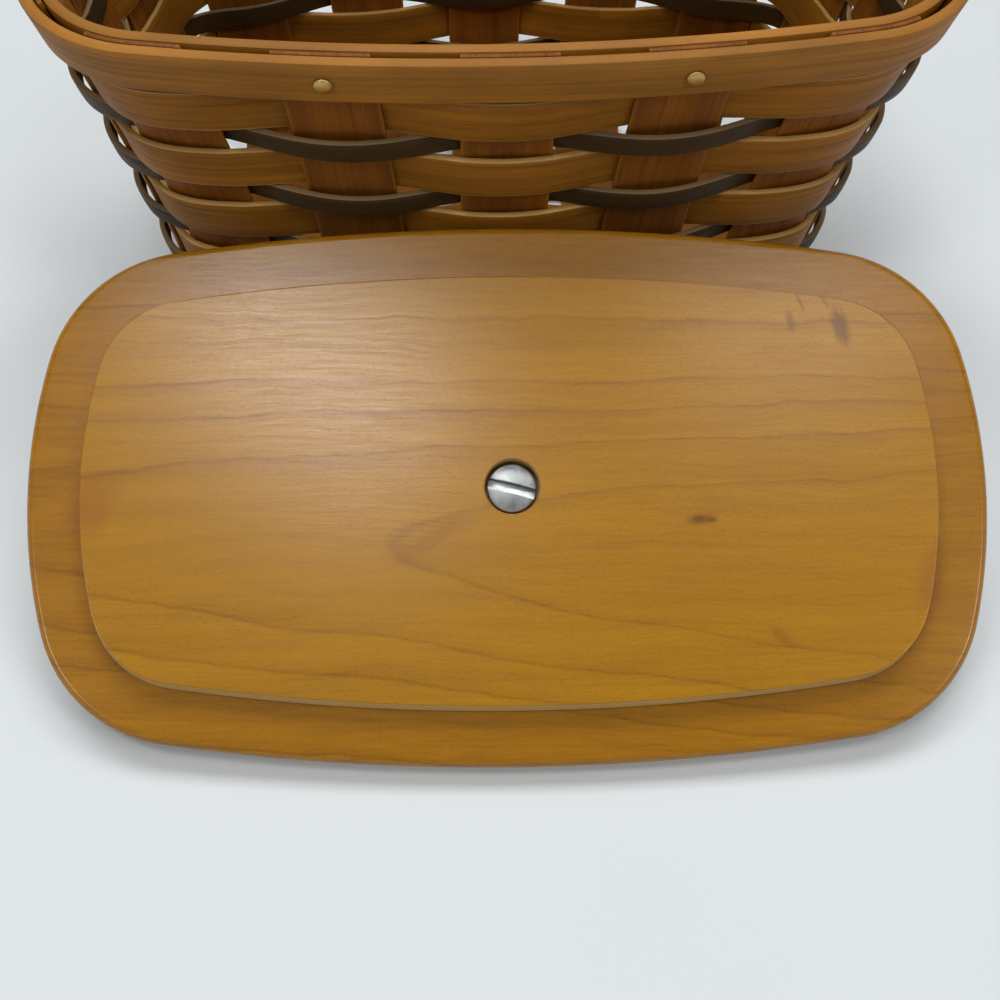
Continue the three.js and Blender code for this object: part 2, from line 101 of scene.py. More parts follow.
# Height of the lamps above the floor, and each lamp's spot, size, power and turn.
LAMP_HEIGHT = 2.3
LAMPS = (
    ("Left softbox", (-0.34, -0.55), (0.56, 0.26), 9.0, -40.0),
    ("Right softbox", (0.66, -0.48), (0.50, 0.34), 3.5, 0.0),
    ("Overhead softbox", (0.0, 0.80), (2.20, 1.00), 41.0, 0.0),
    ("Ceiling", (0.0, -0.65), (2.40, 0.90), 1.2, 0.0),
    ("Front left softbox", (-1.90, -1.50), (1.00, 0.80), 23.0, 0.0),
    ("Front right softbox", (1.90, -1.50), (1.00, 0.80), 23.0, 0.0),
)

# The camera's place, its turn in degrees and its lens in millimetres.
CAMERA_PLACE = (-0.01827, -0.30160, 0.30706)
CAMERA_TURN = (32.977, -1.015, -2.998)
CAMERA_LENS = 46.8

# Pale tone that the floor fades into, and the distances between which it fades.
BACKDROP = (0.81, 0.837, 0.846, 1.0)
FADE_START = 0.7
FADE_END = 1.8
BLACK = (0.0, 0.0, 0.0, 1.0)


def metres(name, description, default):
    """A length that a user may change."""
    return bpy.props.FloatProperty(
        name=name, description=description, default=default, precision=4, unit="LENGTH"
    )


def share(name, description, default):
    """A plain ratio that a user may change."""
    return bpy.props.FloatProperty(
        name=name, description=description, default=default, precision=3, subtype="FACTOR"
    )


def degrees(name, description, default):
    """A turn that a user may change, given here in degrees."""
    return bpy.props.FloatProperty(
        name=name, description=description, default=math.radians(default), subtype="ANGLE"
    )


def tint(name, description, default):
    """A colour that a user may change."""
    return bpy.props.FloatVectorProperty(
        name=name, description=description, default=default, size=3, min=0.0, max=1.0, subtype="COLOR"
    )


class LidSizes(bpy.types.PropertyGroup):
    """Sizes of the lid board, which lies underside up in front of the basket."""

    length: metres("Length", "Lid board from end to end", 0.240)
    width: metres("Width", "Lid board from front to rear", 0.136)
    side_radius: metres("Side Radius", "Bow of the two long sides", 0.575)
    end_radius: metres("End Radius", "Bow of the two ends", 0.138)
    corner_radius: metres("Corner Radius", "Round of the corners", 0.037)
    ledge_width: metres("Ledge Width", "Rebated ledge round the panel", 0.0135)
    ledge_thickness: metres("Ledge Thickness", "Board thickness at the ledge", 0.0095)
    panel_step: metres("Panel Step", "Rise of the panel above the ledge", 0.006)
    edge_round: metres("Edge Round", "Round of the outer edges", 0.002)
    panel_draft: metres("Panel Draft", "How far the panel's wall leans in", 0.0015)
    panel_ease: metres("Panel Ease", "Small round on the panel's edge", 0.0003)
    bore_diameter: metres("Bore Diameter", "Counterbore for the screw head", 0.0136)
    centre_x: metres("Centre X", "Place of the lid along the basket", -0.0013)
    gap: metres("Gap", "Space between the lid and the weavers", 0.0005)
    yaw: degrees("Yaw", "Turn of the lid on the floor", -1.85)


class KnobSizes(bpy.types.PropertyGroup):
    """Sizes of the knob and of the screw that holds it."""

    height: metres("Height", "Knob from the lid to its crown", 0.030)
    ball_radius: metres("Ball Radius", "Round of the knob", 0.014)
    foot_radius: metres("Foot Radius", "Foot of the knob on the lid", 0.0085)
    foot_height: metres("Foot Height", "Straight foot below the ball", 0.003)
    head_diameter: metres("Head Diameter", "Screw head across", 0.012)
    head_height: metres("Head Height", "Screw head's thickness", 0.003)
    head_dome: metres("Head Dome", "Crown of the screw head above its rim", 0.0006)
    recess: metres("Recess", "Screw head below the panel", 0.0025)
    shank_diameter: metres("Shank Diameter", "Screw shank across", 0.0048)
    grip: metres("Grip", "Length of shank in the knob", 0.018)
    slot_width: metres("Slot Width", "Driver slot's width", 0.0024)
    slot_depth: metres("Slot Depth", "Driver slot's depth", 0.0012)
    slot_turn: degrees("Slot Turn", "Driver slot's turn on the lid", -14.0)
    slot_lean: degrees("Slot Lean", "Lean of the driver slot's worn floor", 18.0)


class WallSizes(bpy.types.PropertyGroup):
    """Sizes of the basket's splints, weavers and rim."""

    height: metres("Height", "Basket from the floor to the rim", 0.119)
    rim_overhang: metres("Rim Overhang", "Lid beyond the rim", 0.002)
    base_inset_x: metres("Base Inset X", "How far the ends draw in at the foot", 0.0205)
    base_inset_y: metres("Base Inset Y", "How far the long sides draw in at the foot", 0.0099)
    flare_power: share("Flare Power", "How late the wall flares", 1.5)
    base_bend: metres("Base Bend", "Bend between the base and the wall", 0.005)
    clearance: metres("Clearance", "Play between neighbouring strips", 0.0003)
    splint_width: metres("Splint Width", "Uprights' width", 0.0225)
    splint_thickness: metres("Splint Thickness", "Uprights' thickness", 0.0012)
    front_step: share("Front Step", "Share of the rim between long-side uprights", 0.069)
    end_step: share("End Step", "Share of the rim between end uprights", 0.05)
    first_row: metres("First Row", "Foot of the lowest weaver", 0.0152)
    narrow_share: share("Narrow Share", "Narrow weavers' width against the broad ones", 0.5)
    row_gap: metres("Row Gap", "Space between rows", 0.0007)
    weaver_thickness: metres("Weaver Thickness", "Weavers' thickness", 0.0016)
    weaver_bow: metres("Weaver Bow", "Bulge of a weaver over an upright", 0.0005)
    narrow_swell: metres("Narrow Swell", "Further bulge of a narrow weaver on the long sides", 0.0013)
    band_height: metres("Band Height", "Rim bands' height", 0.012)
    band_thickness: metres("Band Thickness", "Rim bands' thickness", 0.003)
    tack_radius: metres("Tack Radius", "Tack heads' radius", 0.0022)
    tack_height: metres("Tack Height", "Tack heads' height", 0.0009)
    tack_shank: metres("Tack Shank", "Tack shanks' radius", 0.0007)
    broad_rows: bpy.props.IntProperty(
        name="Broad Rows", description="Count of broad weaver rows", default=5, min=2
    )


class Finishes(bpy.types.PropertyGroup):
    """Colours of the woods, the metals and the floor."""

    lid_light: tint("Lid Light", "Early wood of the lid panel", (0.378, 0.172, 0.006))
    lid_dark: tint("Lid Dark", "Late wood lines of the lid panel", (0.170, 0.064, 0.003))
    # Ledge tone darkens the ledge: partly its own tone, partly painted shade.
    ledge: tint("Ledge", "Tone of the cut ledge against the panel", (0.90, 0.85, 0.73))
    # Pale tone of the cut wall: a painted reflection of the light in front of the lid.
    cut_wall_reflection: tint("Cut Wall", "Cut wall reflection between the ledge and the panel", (0.600, 0.420, 0.190))
    reddish: tint("Reddish", "Warm figure in the lid wood", (0.270, 0.088, 0.009))
    stain: tint("Stain", "Small stains on the lid", (0.140, 0.054, 0.005))
    splint: tint("Splint", "Uprights and base", (0.196, 0.060, 0.003))
    broad: tint("Broad Weaver", "Plain weavers", (0.262, 0.097, 0.005))
    broad_edge: tint("Broad Edge", "Paler cut edges of the plain weavers", (0.430, 0.240, 0.070))
    dyed: tint("Dyed Weaver", "Dark dyed weavers", (0.042, 0.021, 0.004))
    dyed_edge: tint("Dyed Edge", "Paler cut edges of the dyed weavers", (0.200, 0.128, 0.055))
    band: tint("Rim Band", "Bands of the rim", (0.300, 0.122, 0.014))
    steel: tint("Steel", "Screw", (0.330, 0.345, 0.345))
    brass: tint("Brass", "Tacks", (0.480, 0.320, 0.110))
    floor: tint("Floor", "Ground under the basket", (0.645, 0.678, 0.688))


def outline(half_length, half_width, radii, shares):
    """Points and outward directions on a closed outline of side, corner and end arcs.

    Share 0 is the front middle, and shares grow towards +X. The outline's length comes back too.
    """
    side, end, corner = radii
    end_x = half_length - end
    side_y = half_width - side
    distance = np.hypot(end_x, side_y)
    to_end = end - corner
    to_side = side - corner
    along = (distance ** 2 + to_end ** 2 - to_side ** 2) / (2.0 * distance)
    across = np.sqrt(np.maximum(to_end ** 2 - along ** 2, 0.0))
    corner_x = end_x - end_x / distance * along - side_y / distance * across
    corner_y = side_y / distance * along - end_x / distance * across
    side_turn = np.arctan2(corner_y - side_y, corner_x)
    end_turn = np.arctan2(corner_y, corner_x - end_x)
    side_run = side * (0.5 * np.pi - side_turn)
    corner_run = corner * (side_turn - end_turn)
    quarter_run = side_run + corner_run + end * end_turn

    turn = np.mod(shares, 1.0)
    quarter = np.minimum(np.floor(turn * 4.0), 3.0)
    part = turn * 4.0 - quarter
    run = np.where(quarter % 2 == 0, part, 1.0 - part) * quarter_run
    on_side = run <= side_run
    on_corner = ~on_side & (run <= side_run + corner_run)
    kinds = [on_side, on_corner]
    side_angle = 0.5 * np.pi - run / side
    corner_angle = side_turn - (run - side_run) / corner
    end_angle = end_turn - (run - side_run - corner_run) / end
    angle = np.select(kinds, [side_angle, corner_angle], end_angle)
    radius = np.select(kinds, [side + 0.0 * run, corner + 0.0 * run], end + 0.0 * run)
    middle_x = np.select(kinds, [0.0 * run, corner_x + 0.0 * run], end_x + 0.0 * run)
    middle_y = np.select(kinds, [side_y + 0.0 * run, corner_y + 0.0 * run], 0.0 * run)
    sign_x = np.where(quarter < 2, 1.0, -1.0)
    sign_y = np.where((quarter == 0) | (quarter == 3), -1.0, 1.0)
    outward = np.stack([sign_x * np.cos(angle), sign_y * np.sin(angle)], -1)
    points_x = sign_x * (middle_x + radius * np.cos(angle))
    points_y = sign_y * (middle_y + radius * np.sin(angle))
    return np.stack([points_x, points_y], -1), outward, 4.0 * quarter_run


def lid_radii(lid):
    return lid.side_radius, lid.end_radius, lid.corner_radius


class BasketForm:
    """Sizes that follow from the driving ones, and places on the basket's wall."""

    def __init__(self, scene):
        self.lid = scene.basket_lid
        self.wall = scene.basket_wall
        wall = self.wall
        rim_build = 0.5 * wall.splint_thickness + wall.clearance + wall.band_thickness
        self.rim_half_length = 0.5 * self.lid.length - wall.rim_overhang - rim_build
        self.rim_half_width = 0.5 * self.lid.width - wall.rim_overhang - rim_build
        self.band_foot = wall.height - wall.band_height
        rows = wall.broad_rows
        woven = self.band_foot - wall.first_row - (2 * rows - 1) * wall.row_gap
        self.broad_width = woven / (rows + (rows - 1) * wall.narrow_share)
        self.narrow_width = self.broad_width * wall.narrow_share
        self.row_pitch = self.broad_width + self.narrow_width + 2.0 * wall.row_gap
        self.low_level = 0.5 * wall.splint_thickness
        self.high_level = self.low_level + wall.splint_thickness + wall.clearance
        self.bend_top = wall.base_bend + self.high_level
        strips = wall.splint_thickness + wall.weaver_thickness
        self.edge_offset = 0.5 * strips + wall.clearance + WEAVE_SLACK
        self.band_offset = 0.5 * (wall.splint_thickness + wall.band_thickness) + wall.clearance
        even = (0.0, wall.front_step, 2.0 * wall.front_step, 0.25 - wall.end_step)
        odd = (0.0, wall.end_step, 0.25 - 2.0 * wall.front_step, 0.25 - wall.front_step)
        steps = (even, odd, even, odd)
        self.uprights = np.array([0.25 * q + step for q in range(4) for step in steps[q]])

    def halves(self, height):
        rise = np.clip(np.asarray(height) / self.wall.height, 0.0, 1.0) ** self.wall.flare_power
        half_length = self.rim_half_length - self.wall.base_inset_x * (1.0 - rise)
        half_width = self.rim_half_width - self.wall.base_inset_y * (1.0 - rise)
        return half_length, half_width

    def ring(self, shares, height):
        half_length, half_width = self.halves(height)
        length_scale = half_length / (0.5 * self.lid.length)
        width_scale = half_width / (0.5 * self.lid.width)
        side, end, corner = lid_radii(self.lid)
        radii = (side * length_scale ** 2, end * width_scale, corner * width_scale ** 2)
        return outline(half_length, half_width, radii, shares)

    def at(self, shares, height, offset=0.0):
        """Points on the wall, moved outwards by an offset."""
        shares, height, offset = np.broadcast_arrays(shares, height, offset)
        points, outward, _ = self.ring(shares, height)
        flat = points + outward * offset[..., None]
        return np.concatenate([flat, height[..., None]], -1)

    def half_share(self, height):
        """Half an upright's width as a share of the outline at a height."""
        return 0.5 * self.wall.splint_width / self.ring(np.zeros(1), height)[2]

    def lid_pose(self, knob):
        """Where the lid lies: on its front edge and its knob, its rear edge close to the weavers."""
        lid = self.lid
        reach = 0.5 * lid.width - lid.edge_round
        drop = knob.height - knob.ball_radius + lid.edge_round
        slope = math.asin((knob.ball_radius - lid.edge_round) / math.hypot(reach, drop))
        slope += math.atan2(drop, reach)
        straight = lid.ledge_thickness - lid.edge_round
        rise = reach * math.sin(slope) + straight * math.cos(slope) + lid.edge_round
        rear_reach = 0.5 * lid.width * math.cos(slope) + straight * math.sin(slope)
        rear_height = rise + 0.5 * lid.width * math.sin(slope) - straight * math.cos(slope)
        weaver_reach = self.edge_offset + self.wall.weaver_bow + 0.5 * self.wall.weaver_thickness
        stand_off = float(self.halves(rear_height)[1]) + weaver_reach + lid.gap
        centre_y = -stand_off - rear_reach * math.cos(lid.yaw)
        return Vector((lid.centre_x, centre_y, rise)), Euler((slope, 0.0, lid.yaw))


def ease_round(values, spread):
    """Softens a closed run of values with a bell-shaped average."""
    reach = int(math.ceil(3.0 * spread))
    bell = np.exp(-0.5 * (np.arange(-reach, reach + 1) / spread) ** 2)
    around = np.concatenate([values[-reach:], values, values[:reach]])
    return np.convolve(around, bell / bell.sum(), "valid")


def wander(seed, waves, shares):
    """A gentle closed drift round a ring, mostly between -1 and 1."""
    dice = np.random.default_rng(seed)
    drift = np.zeros_like(shares)
    for wave in range(1, waves + 1):
        drift += dice.uniform(-1.0, 1.0) * np.sin(2.0 * np.pi * (wave * shares + dice.random()))
    return drift / math.sqrt(waves)


def deselect_all():
    if bpy.context.mode != "OBJECT":
        bpy.ops.object.mode_set(mode="OBJECT")
    bpy.ops.object.select_all(action="DESELECT")


def take_up(piece):
    """Makes a piece the only one selected, and the active one."""
    deselect_all()
    piece.select_set(True)
    bpy.context.view_layer.objects.active = piece


def name_piece(piece, name):
    piece.name = name
    piece.data.name = name


def finish_with(piece, kind, **settings):
    """Adds a modifier with its settings and applies it."""
    take_up(piece)
    modifier = piece.modifiers.new(kind.title(), kind)
    for setting, value in settings.items():
        setattr(modifier, setting, value)
    bpy.ops.object.modifier_apply(modifier=modifier.name)


def turn_faces_out(piece, merge=0.0):
    take_up(piece)
    bpy.ops.object.mode_set(mode="EDIT")
    bpy.ops.mesh.select_all(action="SELECT")
    if merge > 0.0:
        bpy.ops.mesh.remove_doubles(threshold=merge)
    bpy.ops.mesh.normals_make_consistent(inside=False)
    bpy.ops.object.mode_set(mode="OBJECT")


def ease_edges(piece, width, angle):
    """Rounds the edges that are sharper than an angle."""
    limit = math.radians(angle)
    finish_with(piece, "BEVEL", width=width, segments=2, limit_method="ANGLE", angle_limit=limit)


def smooth(piece, angle):
    take_up(piece)
    bpy.ops.object.shade_smooth_by_angle(angle=math.radians(angle))


def dress(piece, material, body, node):
    """Gives a finished piece its material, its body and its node."""
    piece.data.materials.clear()
    piece.data.materials.append(material)
    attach(piece, body)
    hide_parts(node)


def bent_strip(name, rails, thickness, edge_round, closed, grain_start):
    """A bent strip of wood: a grid laid along rails of points, thickened and rounded at its edges.

    Its UV map holds metres along the strip and across it, so that the grain follows the bend.
    """
    stations, breadth = rails.shape[:2]
    deselect_all()
    bpy.ops.mesh.primitive_grid_add(x_subdivisions=stations - 1, y_subdivisions=breadth - 1, size=1.0)
    piece = bpy.context.object
    name_piece(piece, name)
    mesh = piece.data
    if len(mesh.vertices) != stations * breadth:
        raise RuntimeError(f"{name}: the grid has {len(mesh.vertices)} points")
    flat = np.empty(3 * len(mesh.vertices))
    mesh.vertices.foreach_get("co", flat)
    flat = flat.reshape(-1, 3)
    along = np.rint((flat[:, 0] + 0.5) * (stations - 1)).astype(int)
    across = np.rint((flat[:, 1] + 0.5) * (breadth - 1)).astype(int)
    mesh.vertices.foreach_set("co", rails[along, across].ravel())

    middle = rails[:, breadth // 2]
    run = np.concatenate([[0.0], np.cumsum(np.linalg.norm(np.diff(middle, axis=0), axis=1))])
    width = np.concatenate([[0.0], np.cumsum(np.linalg.norm(np.diff(rails[0], axis=0), axis=1))])
    corners = np.empty(len(mesh.loops), dtype=np.int32)
    mesh.loops.foreach_get("vertex_index", corners)
    grain = np.stack([run[along[corners]], width[across[corners]]], -1) + np.asarray(grain_start)
    mesh.uv_layers.active.name = "Grain"
    mesh.uv_layers.active.data.foreach_set("uv", grain.ravel())
    breadths = np.stack([along[corners] / (stations - 1), across[corners] / (breadth - 1)], -1)
    mesh.uv_layers.new(name="Breadth").data.foreach_set("uv", breadths.ravel())
    mesh.update()

    if closed:
        turn_faces_out(piece, merge=FLAT_STEP)
    finish_with(piece, "SOLIDIFY", thickness=thickness, offset=0.0)
    turn_faces_out(piece)
    ease_edges(piece, edge_round, 50)
    smooth(piece, 40)
    return piece


def lay_strip(node, rails, thickness, edge_round, closed, grain_start, wood):
    """Bends one strip and gives it to the basket."""
    piece = bent_strip(f"dressed_{node}", rails, thickness, edge_round, closed, grain_start)
    dress(piece, wood, "basket", node)


def turned(name, profile, sides=TURNED_SIDES):
    """A turned piece: a disc drawn up ring by ring along radii and heights."""
    deselect_all()
    radius, height = profile[0]
    bpy.ops.mesh.primitive_circle_add(
        vertices=sides, radius=radius, fill_type="NGON", location=(0.0, 0.0, height)
    )
    piece = bpy.context.object
    name_piece(piece, name)
    bpy.ops.object.transform_apply(location=True, rotation=True, scale=True)
    bpy.ops.object.mode_set(mode="EDIT")
    bpy.ops.mesh.select_all(action="SELECT")
    for next_radius, next_height in profile[1:]:
        lift = (0.0, 0.0, next_height - height)
        bpy.ops.mesh.extrude_region_move(TRANSFORM_OT_translate={"value": lift})
        ratio = next_radius / radius
        bpy.ops.transform.resize(value=(ratio, ratio, 1.0), center_override=(0.0, 0.0, next_height))
        radius, height = next_radius, next_height
    bpy.ops.object.mode_set(mode="OBJECT")
    turn_faces_out(piece)
    return piece


def cut_with(piece, cutter):
    """Cuts one piece out of another and takes the cutter away."""
    finish_with(piece, "BOOLEAN", operation="DIFFERENCE", object=cutter, solver="EXACT")
    bpy.data.objects.remove(cutter)


def lay_on_floor(piece, pose):
    """Puts a piece made in the lid's own frame where the lid lies."""
    take_up(piece)
    piece.location, piece.rotation_euler = pose
    bpy.ops.object.transform_apply(location=True, rotation=True, scale=True)


def splint_rails(form, pair, runs, place, crossings, low):
    """Rails of one splint: down the first wall, across the base and up the second wall."""
    side = 1 - runs
    spread = np.linspace(-1.0, 1.0, SPLINT_RAILS)
    half_strip = 0.5 * form.wall.splint_width

    def climb(upright, level, sign):
        middle = form.uprights[upright]
        nearby = form.at(middle + SHARE_STEP, form.bend_top) - form.at(middle, form.bend_top)
        facing = np.sign(nearby[side])
        top = form.wall.height - form.wall.clearance
        heights = np.linspace(top, form.bend_top, WALL_STATIONS)
        rail = [form.at(middle + spread * facing * form.half_share(h), h) for h in heights]
        start = rail[-1]
        lower = form.bend_top - KNEE_STEP
        below = form.at(middle + spread * facing * form.half_share(lower), lower)
        knee = start + (below - start) * (form.bend_top - level) / KNEE_STEP
        end = np.zeros_like(start)
        end[:, side] = place + spread * half_strip
        end[:, runs] = sign * (np.abs(start[:, runs]).min() - form.wall.base_bend)
        end[:, 2] = level
        t = np.linspace(0.0, 1.0, BEND_STATIONS + 1)[1:, None, None]
        bend = (1.0 - t) ** 2 * start + 2.0 * t * (1.0 - t) * knee + t ** 2 * end
        return np.concatenate([np.stack(rail), bend])

    first_sign = np.sign(form.at(form.uprights[pair[0]], form.bend_top)[runs])
    order = sorted(range(len(crossings)), key=lambda number: -first_sign * crossings[number])
    levels = [form.low_level if low(number) else form.high_level for number in order]
    first = climb(pair[0], levels[0], first_sign)
    second = climb(pair[1], levels[-1], -first_sign)[::-1]
    spots = np.linspace(first[-1, 0, runs], second[0, 0, runs], BASE_STATIONS)[1:-1]
    margin = half_strip + form.wall.clearance
    knots = []
    for number, level in zip(order, levels):
        knots.append((crossings[number] - margin, level))
        knots.append((crossings[number] + margin, level))
    knots.sort()
    places, heights = np.array(knots).T
    base = np.zeros((len(spots), SPLINT_RAILS, 3))
    base[:, :, runs] = spots[:, None]
    base[:, :, side] = place + spread * half_strip
    base[:, :, 2] = np.interp(spots, places, heights)[:, None]
    return np.concatenate([first, base, second])


def weaver_rails(form, foot, width, swell, outside_even, seed):
    """Rails of a weaver ring that swings outside every second upright and inside the others."""
    start = form.uprights[7 if outside_even else 8]
    shares = start + np.arange(WEAVER_STATIONS) / WEAVER_STATIONS
    dice = np.random.default_rng(seed)
    count = len(form.uprights)
    around = np.concatenate([form.uprights, form.uprights + 1.0, form.uprights + 2.0])
    outside = np.where((np.arange(count) % 2 == 0) == outside_even, 1.0, -1.0)
    half = float(form.half_share(foot + 0.5 * width))
    room = 0.5 * (around[count + 1:2 * count + 1] - around[count - 1:2 * count - 1]) - 2.0 * half
    swells = swell * room / (form.wall.front_step - 2.0 * half) * dice.uniform(0.8, 1.1, count)
    peaks = outside * (form.edge_offset + form.wall.weaver_bow + swells)
    last = np.searchsorted(around, shares, side="right") - 1
    part = (shares - around[last]) / (around[last + 1] - around[last])
    swing = 0.5 * (1.0 + np.cos(np.pi * part))
    offset = peaks[last % count] * swing + peaks[(last + 1) % count] * (1.0 - swing)
    near = np.where(part < 0.5, last, last + 1)
    over = np.abs(shares - around[near]) < half
    held = outside[near % count] * np.maximum(np.abs(offset), form.edge_offset)
    offset = ease_round(np.where(over, held, offset), SWING_EASE)
    low = foot + EDGE_DRIFT * wander(seed + 100, 9, shares)
    high = foot + width + EDGE_DRIFT * wander(seed + 200, 9, shares)
    rows = np.linspace(0.0, 1.0, WEAVER_RAILS)
    heights = low[:, None] + (high - low)[:, None] * rows
    crown = FACE_DRIFT * (1.0 - (2.0 * rows - 1.0) ** 2)
    lean = FACE_DRIFT * wander(seed + 300, 11, shares)[:, None] * (2.0 * rows - 1.0)
    side = np.sign(offset)[:, None]
    rails = form.at(shares[:, None], heights, offset[:, None] + side * crown + lean)
    return np.concatenate([rails, rails[:1]])


class NodeBench:
    """Adds nodes to one node tree and joins them up."""

    def __init__(self, tree):
        self.tree = tree
        self.column = 0

    def add(self, kind, feeds=(), **settings):
        """A node with settings, fed from (input, value or socket) pairs."""
        node = self.tree.nodes.new(kind)
        node.location = (220.0 * self.column, 0.0)
        self.column += 1
        for setting, value in settings.items():
            setattr(node, setting, value)
        for socket, feed in feeds:
            if isinstance(feed, bpy.types.NodeSocket):
                self.tree.links.new(feed, node.inputs[socket])
            else:
                node.inputs[socket].default_value = feed
        return node

    def join(self, socket, end):
        self.tree.links.new(socket, end)

    def maths(self, operation, first, second=0.0, third=0.0):
        feeds = [(0, first), (1, second), (2, third)]
        return self.add("ShaderNodeMath", feeds, operation=operation).outputs[0]

    def noise(self, vector, scale, detail=3.0, roughness=0.55, distortion=0.0):
        feeds = [
            ("Vector", vector),
            ("Scale", scale),
            ("Detail", detail),
            ("Roughness", roughness),
            ("Distortion", distortion),
        ]
        return self.add("ShaderNodeTexNoise", feeds).outputs["Fac"]

    def stretch(self, vector, scale, location=(0.0, 0.0, 0.0)):
        feeds = [("Vector", vector), ("Location", location), ("Scale", scale)]
        return self.add("ShaderNodeMapping", feeds).outputs[0]

    def span(self, value, low, high, to_low=0.0, to_high=1.0):
        """Maps a range of values softly onto another."""
        feeds = [(0, value), (1, low), (2, high), (3, to_low), (4, to_high)]
        return self.add("ShaderNodeMapRange", feeds, interpolation_type="SMOOTHSTEP").outputs[0]

    def blend(self, factor, first, second, how="MIX"):
        feeds = [(0, factor), (6, first), (7, second)]
        return self.add("ShaderNodeMix", feeds, data_type="RGBA", blend_type=how).outputs[2]

    def ramp(self, value, stops):
        """A colour ramp in grey, from (place, shade) stops."""
        node = self.add("ShaderNodeValToRGB", [(0, value)])
        elements = node.color_ramp.elements
        while len(elements) < len(stops):
            elements.new(0.5)
        for element, (place, shade) in zip(elements, stops):
            element.position = place
            element.color = (shade, shade, shade, 1.0)
        return node.outputs[0]


def colour(value):
    return (value[0], value[1], value[2], 1.0)


def scaled(value, factor):
    return (value[0] * factor, value[1] * factor, value[2] * factor, 1.0)


def node_group(name, inputs, outputs):
    """A shader node group with named sockets, and its two ends."""
    group = bpy.data.node_groups.new(name, "ShaderNodeTree")
    for label, kind in inputs:
        group.interface.new_socket(name=label, in_out="INPUT", socket_type=kind)
    for label, kind in outputs:
        group.interface.new_socket(name=label, in_out="OUTPUT", socket_type=kind)
    bench = NodeBench(group)
    return group, bench, bench.add("NodeGroupInput").outputs, bench.add("NodeGroupOutput").inputs


VALUE = "NodeSocketFloat"
COLOUR = "NodeSocketColor"
VECTOR = "NodeSocketVector"


def strip_grain(name):
    """Split wood: long fibres along a strip, broad tone changes, pores and darker edges of fibre."""
    inputs = [
        ("Grain", VECTOR),
        ("Breadth", VECTOR),
        ("Wood", COLOUR),
        ("Fibre", COLOUR),
        ("Edge", COLOUR),
        ("Strength", VALUE),
    ]
    outputs = [("Colour", COLOUR), ("Roughness", VALUE), ("Height", VALUE)]
    group, bench, given, gives = node_group(name, inputs, outputs)
    fibre = bench.noise(bench.stretch(given["Grain"], (14.0, 900.0, 1.0)), 1.0, 4.0, 0.6)
    bands = bench.noise(bench.stretch(given["Grain"], (5.0, 190.0, 1.0)), 1.0, 2.0, 0.5)
    pores = bench.noise(bench.stretch(given["Grain"], (120.0, 2400.0, 1.0)), 1.0, 2.0, 0.5)
    blotch = bench.noise(bench.stretch(given["Grain"], (30.0, 60.0, 1.0)), 1.0, 2.0, 0.5)
    fibre_mask = bench.span(fibre, 0.42, 0.72)
    pore_mask = bench.span(pores, 0.60, 0.74)
    depth = bench.maths("MULTIPLY", bench.maths("MAXIMUM", fibre_mask, pore_mask), given["Strength"])
    toned = bench.blend(depth, given["Wood"], given["Fibre"])
    across = bench.add("ShaderNodeSeparateXYZ", [(0, given["Breadth"])]).outputs[1]
    from_middle = bench.maths("ABSOLUTE", bench.maths("SUBTRACT", across, 0.5))
    toned = bench.blend(bench.span(from_middle, 0.455, 0.5), toned, given["Edge"])
    tone = bench.span(bands, 0.30, 0.70, 0.84, 1.14)
    patch = bench.span(blotch, 0.30, 0.70, 0.86, 1.12)
    shade = bench.maths("MULTIPLY", tone, patch)
    grey = bench.add("ShaderNodeCombineColor", [(0, shade), (1, shade), (2, shade)]).outputs[0]
    bench.join(bench.blend(1.0, toned, grey, "MULTIPLY"), gives["Colour"])
    bench.join(bench.span(fibre, 0.30, 0.75, 0.46, 0.66), gives["Roughness"])
    pitted = bench.maths("SUBTRACT", fibre, bench.maths("MULTIPLY", pore_mask, 0.6))
    bench.join(pitted, gives["Height"])
    return group


def spot_mask(name):
    """A soft oval mask at a place, turned and sized, for knots, stains and figure in a board."""
    inputs = [(label, VECTOR) for label in ("Place", "Centre", "Turn", "Size")]
    inputs.append(("Ragged", VALUE))
    group, bench, given, gives = node_group(name, inputs, [("Mask", VALUE)])
    feeds = [
        ("Vector", given["Place"]),
        ("Location", given["Centre"]),
        ("Rotation", given["Turn"]),
        ("Scale", given["Size"]),
    ]
    local = bench.add("ShaderNodeMapping", feeds, vector_type="TEXTURE").outputs[0]
    flatten = [(0, local), (1, (1.0, 1.0, 0.0))]
    flat = bench.add("ShaderNodeVectorMath", flatten, operation="MULTIPLY").outputs[0]
    distance = bench.add("ShaderNodeVectorMath", [(0, flat)], operation="LENGTH").outputs["Value"]
    rough = bench.noise(bench.stretch(flat, (1.5, 2.5, 1.0)), 1.0, 3.0, 0.6)
    uneven = bench.maths("MULTIPLY", bench.maths("SUBTRACT", rough, 0.5), given["Ragged"])
    reach = bench.maths("ADD", distance, uneven)
    bench.join(bench.span(reach, 0.35, 1.0, 1.0, 0.0), gives["Mask"])
    return group


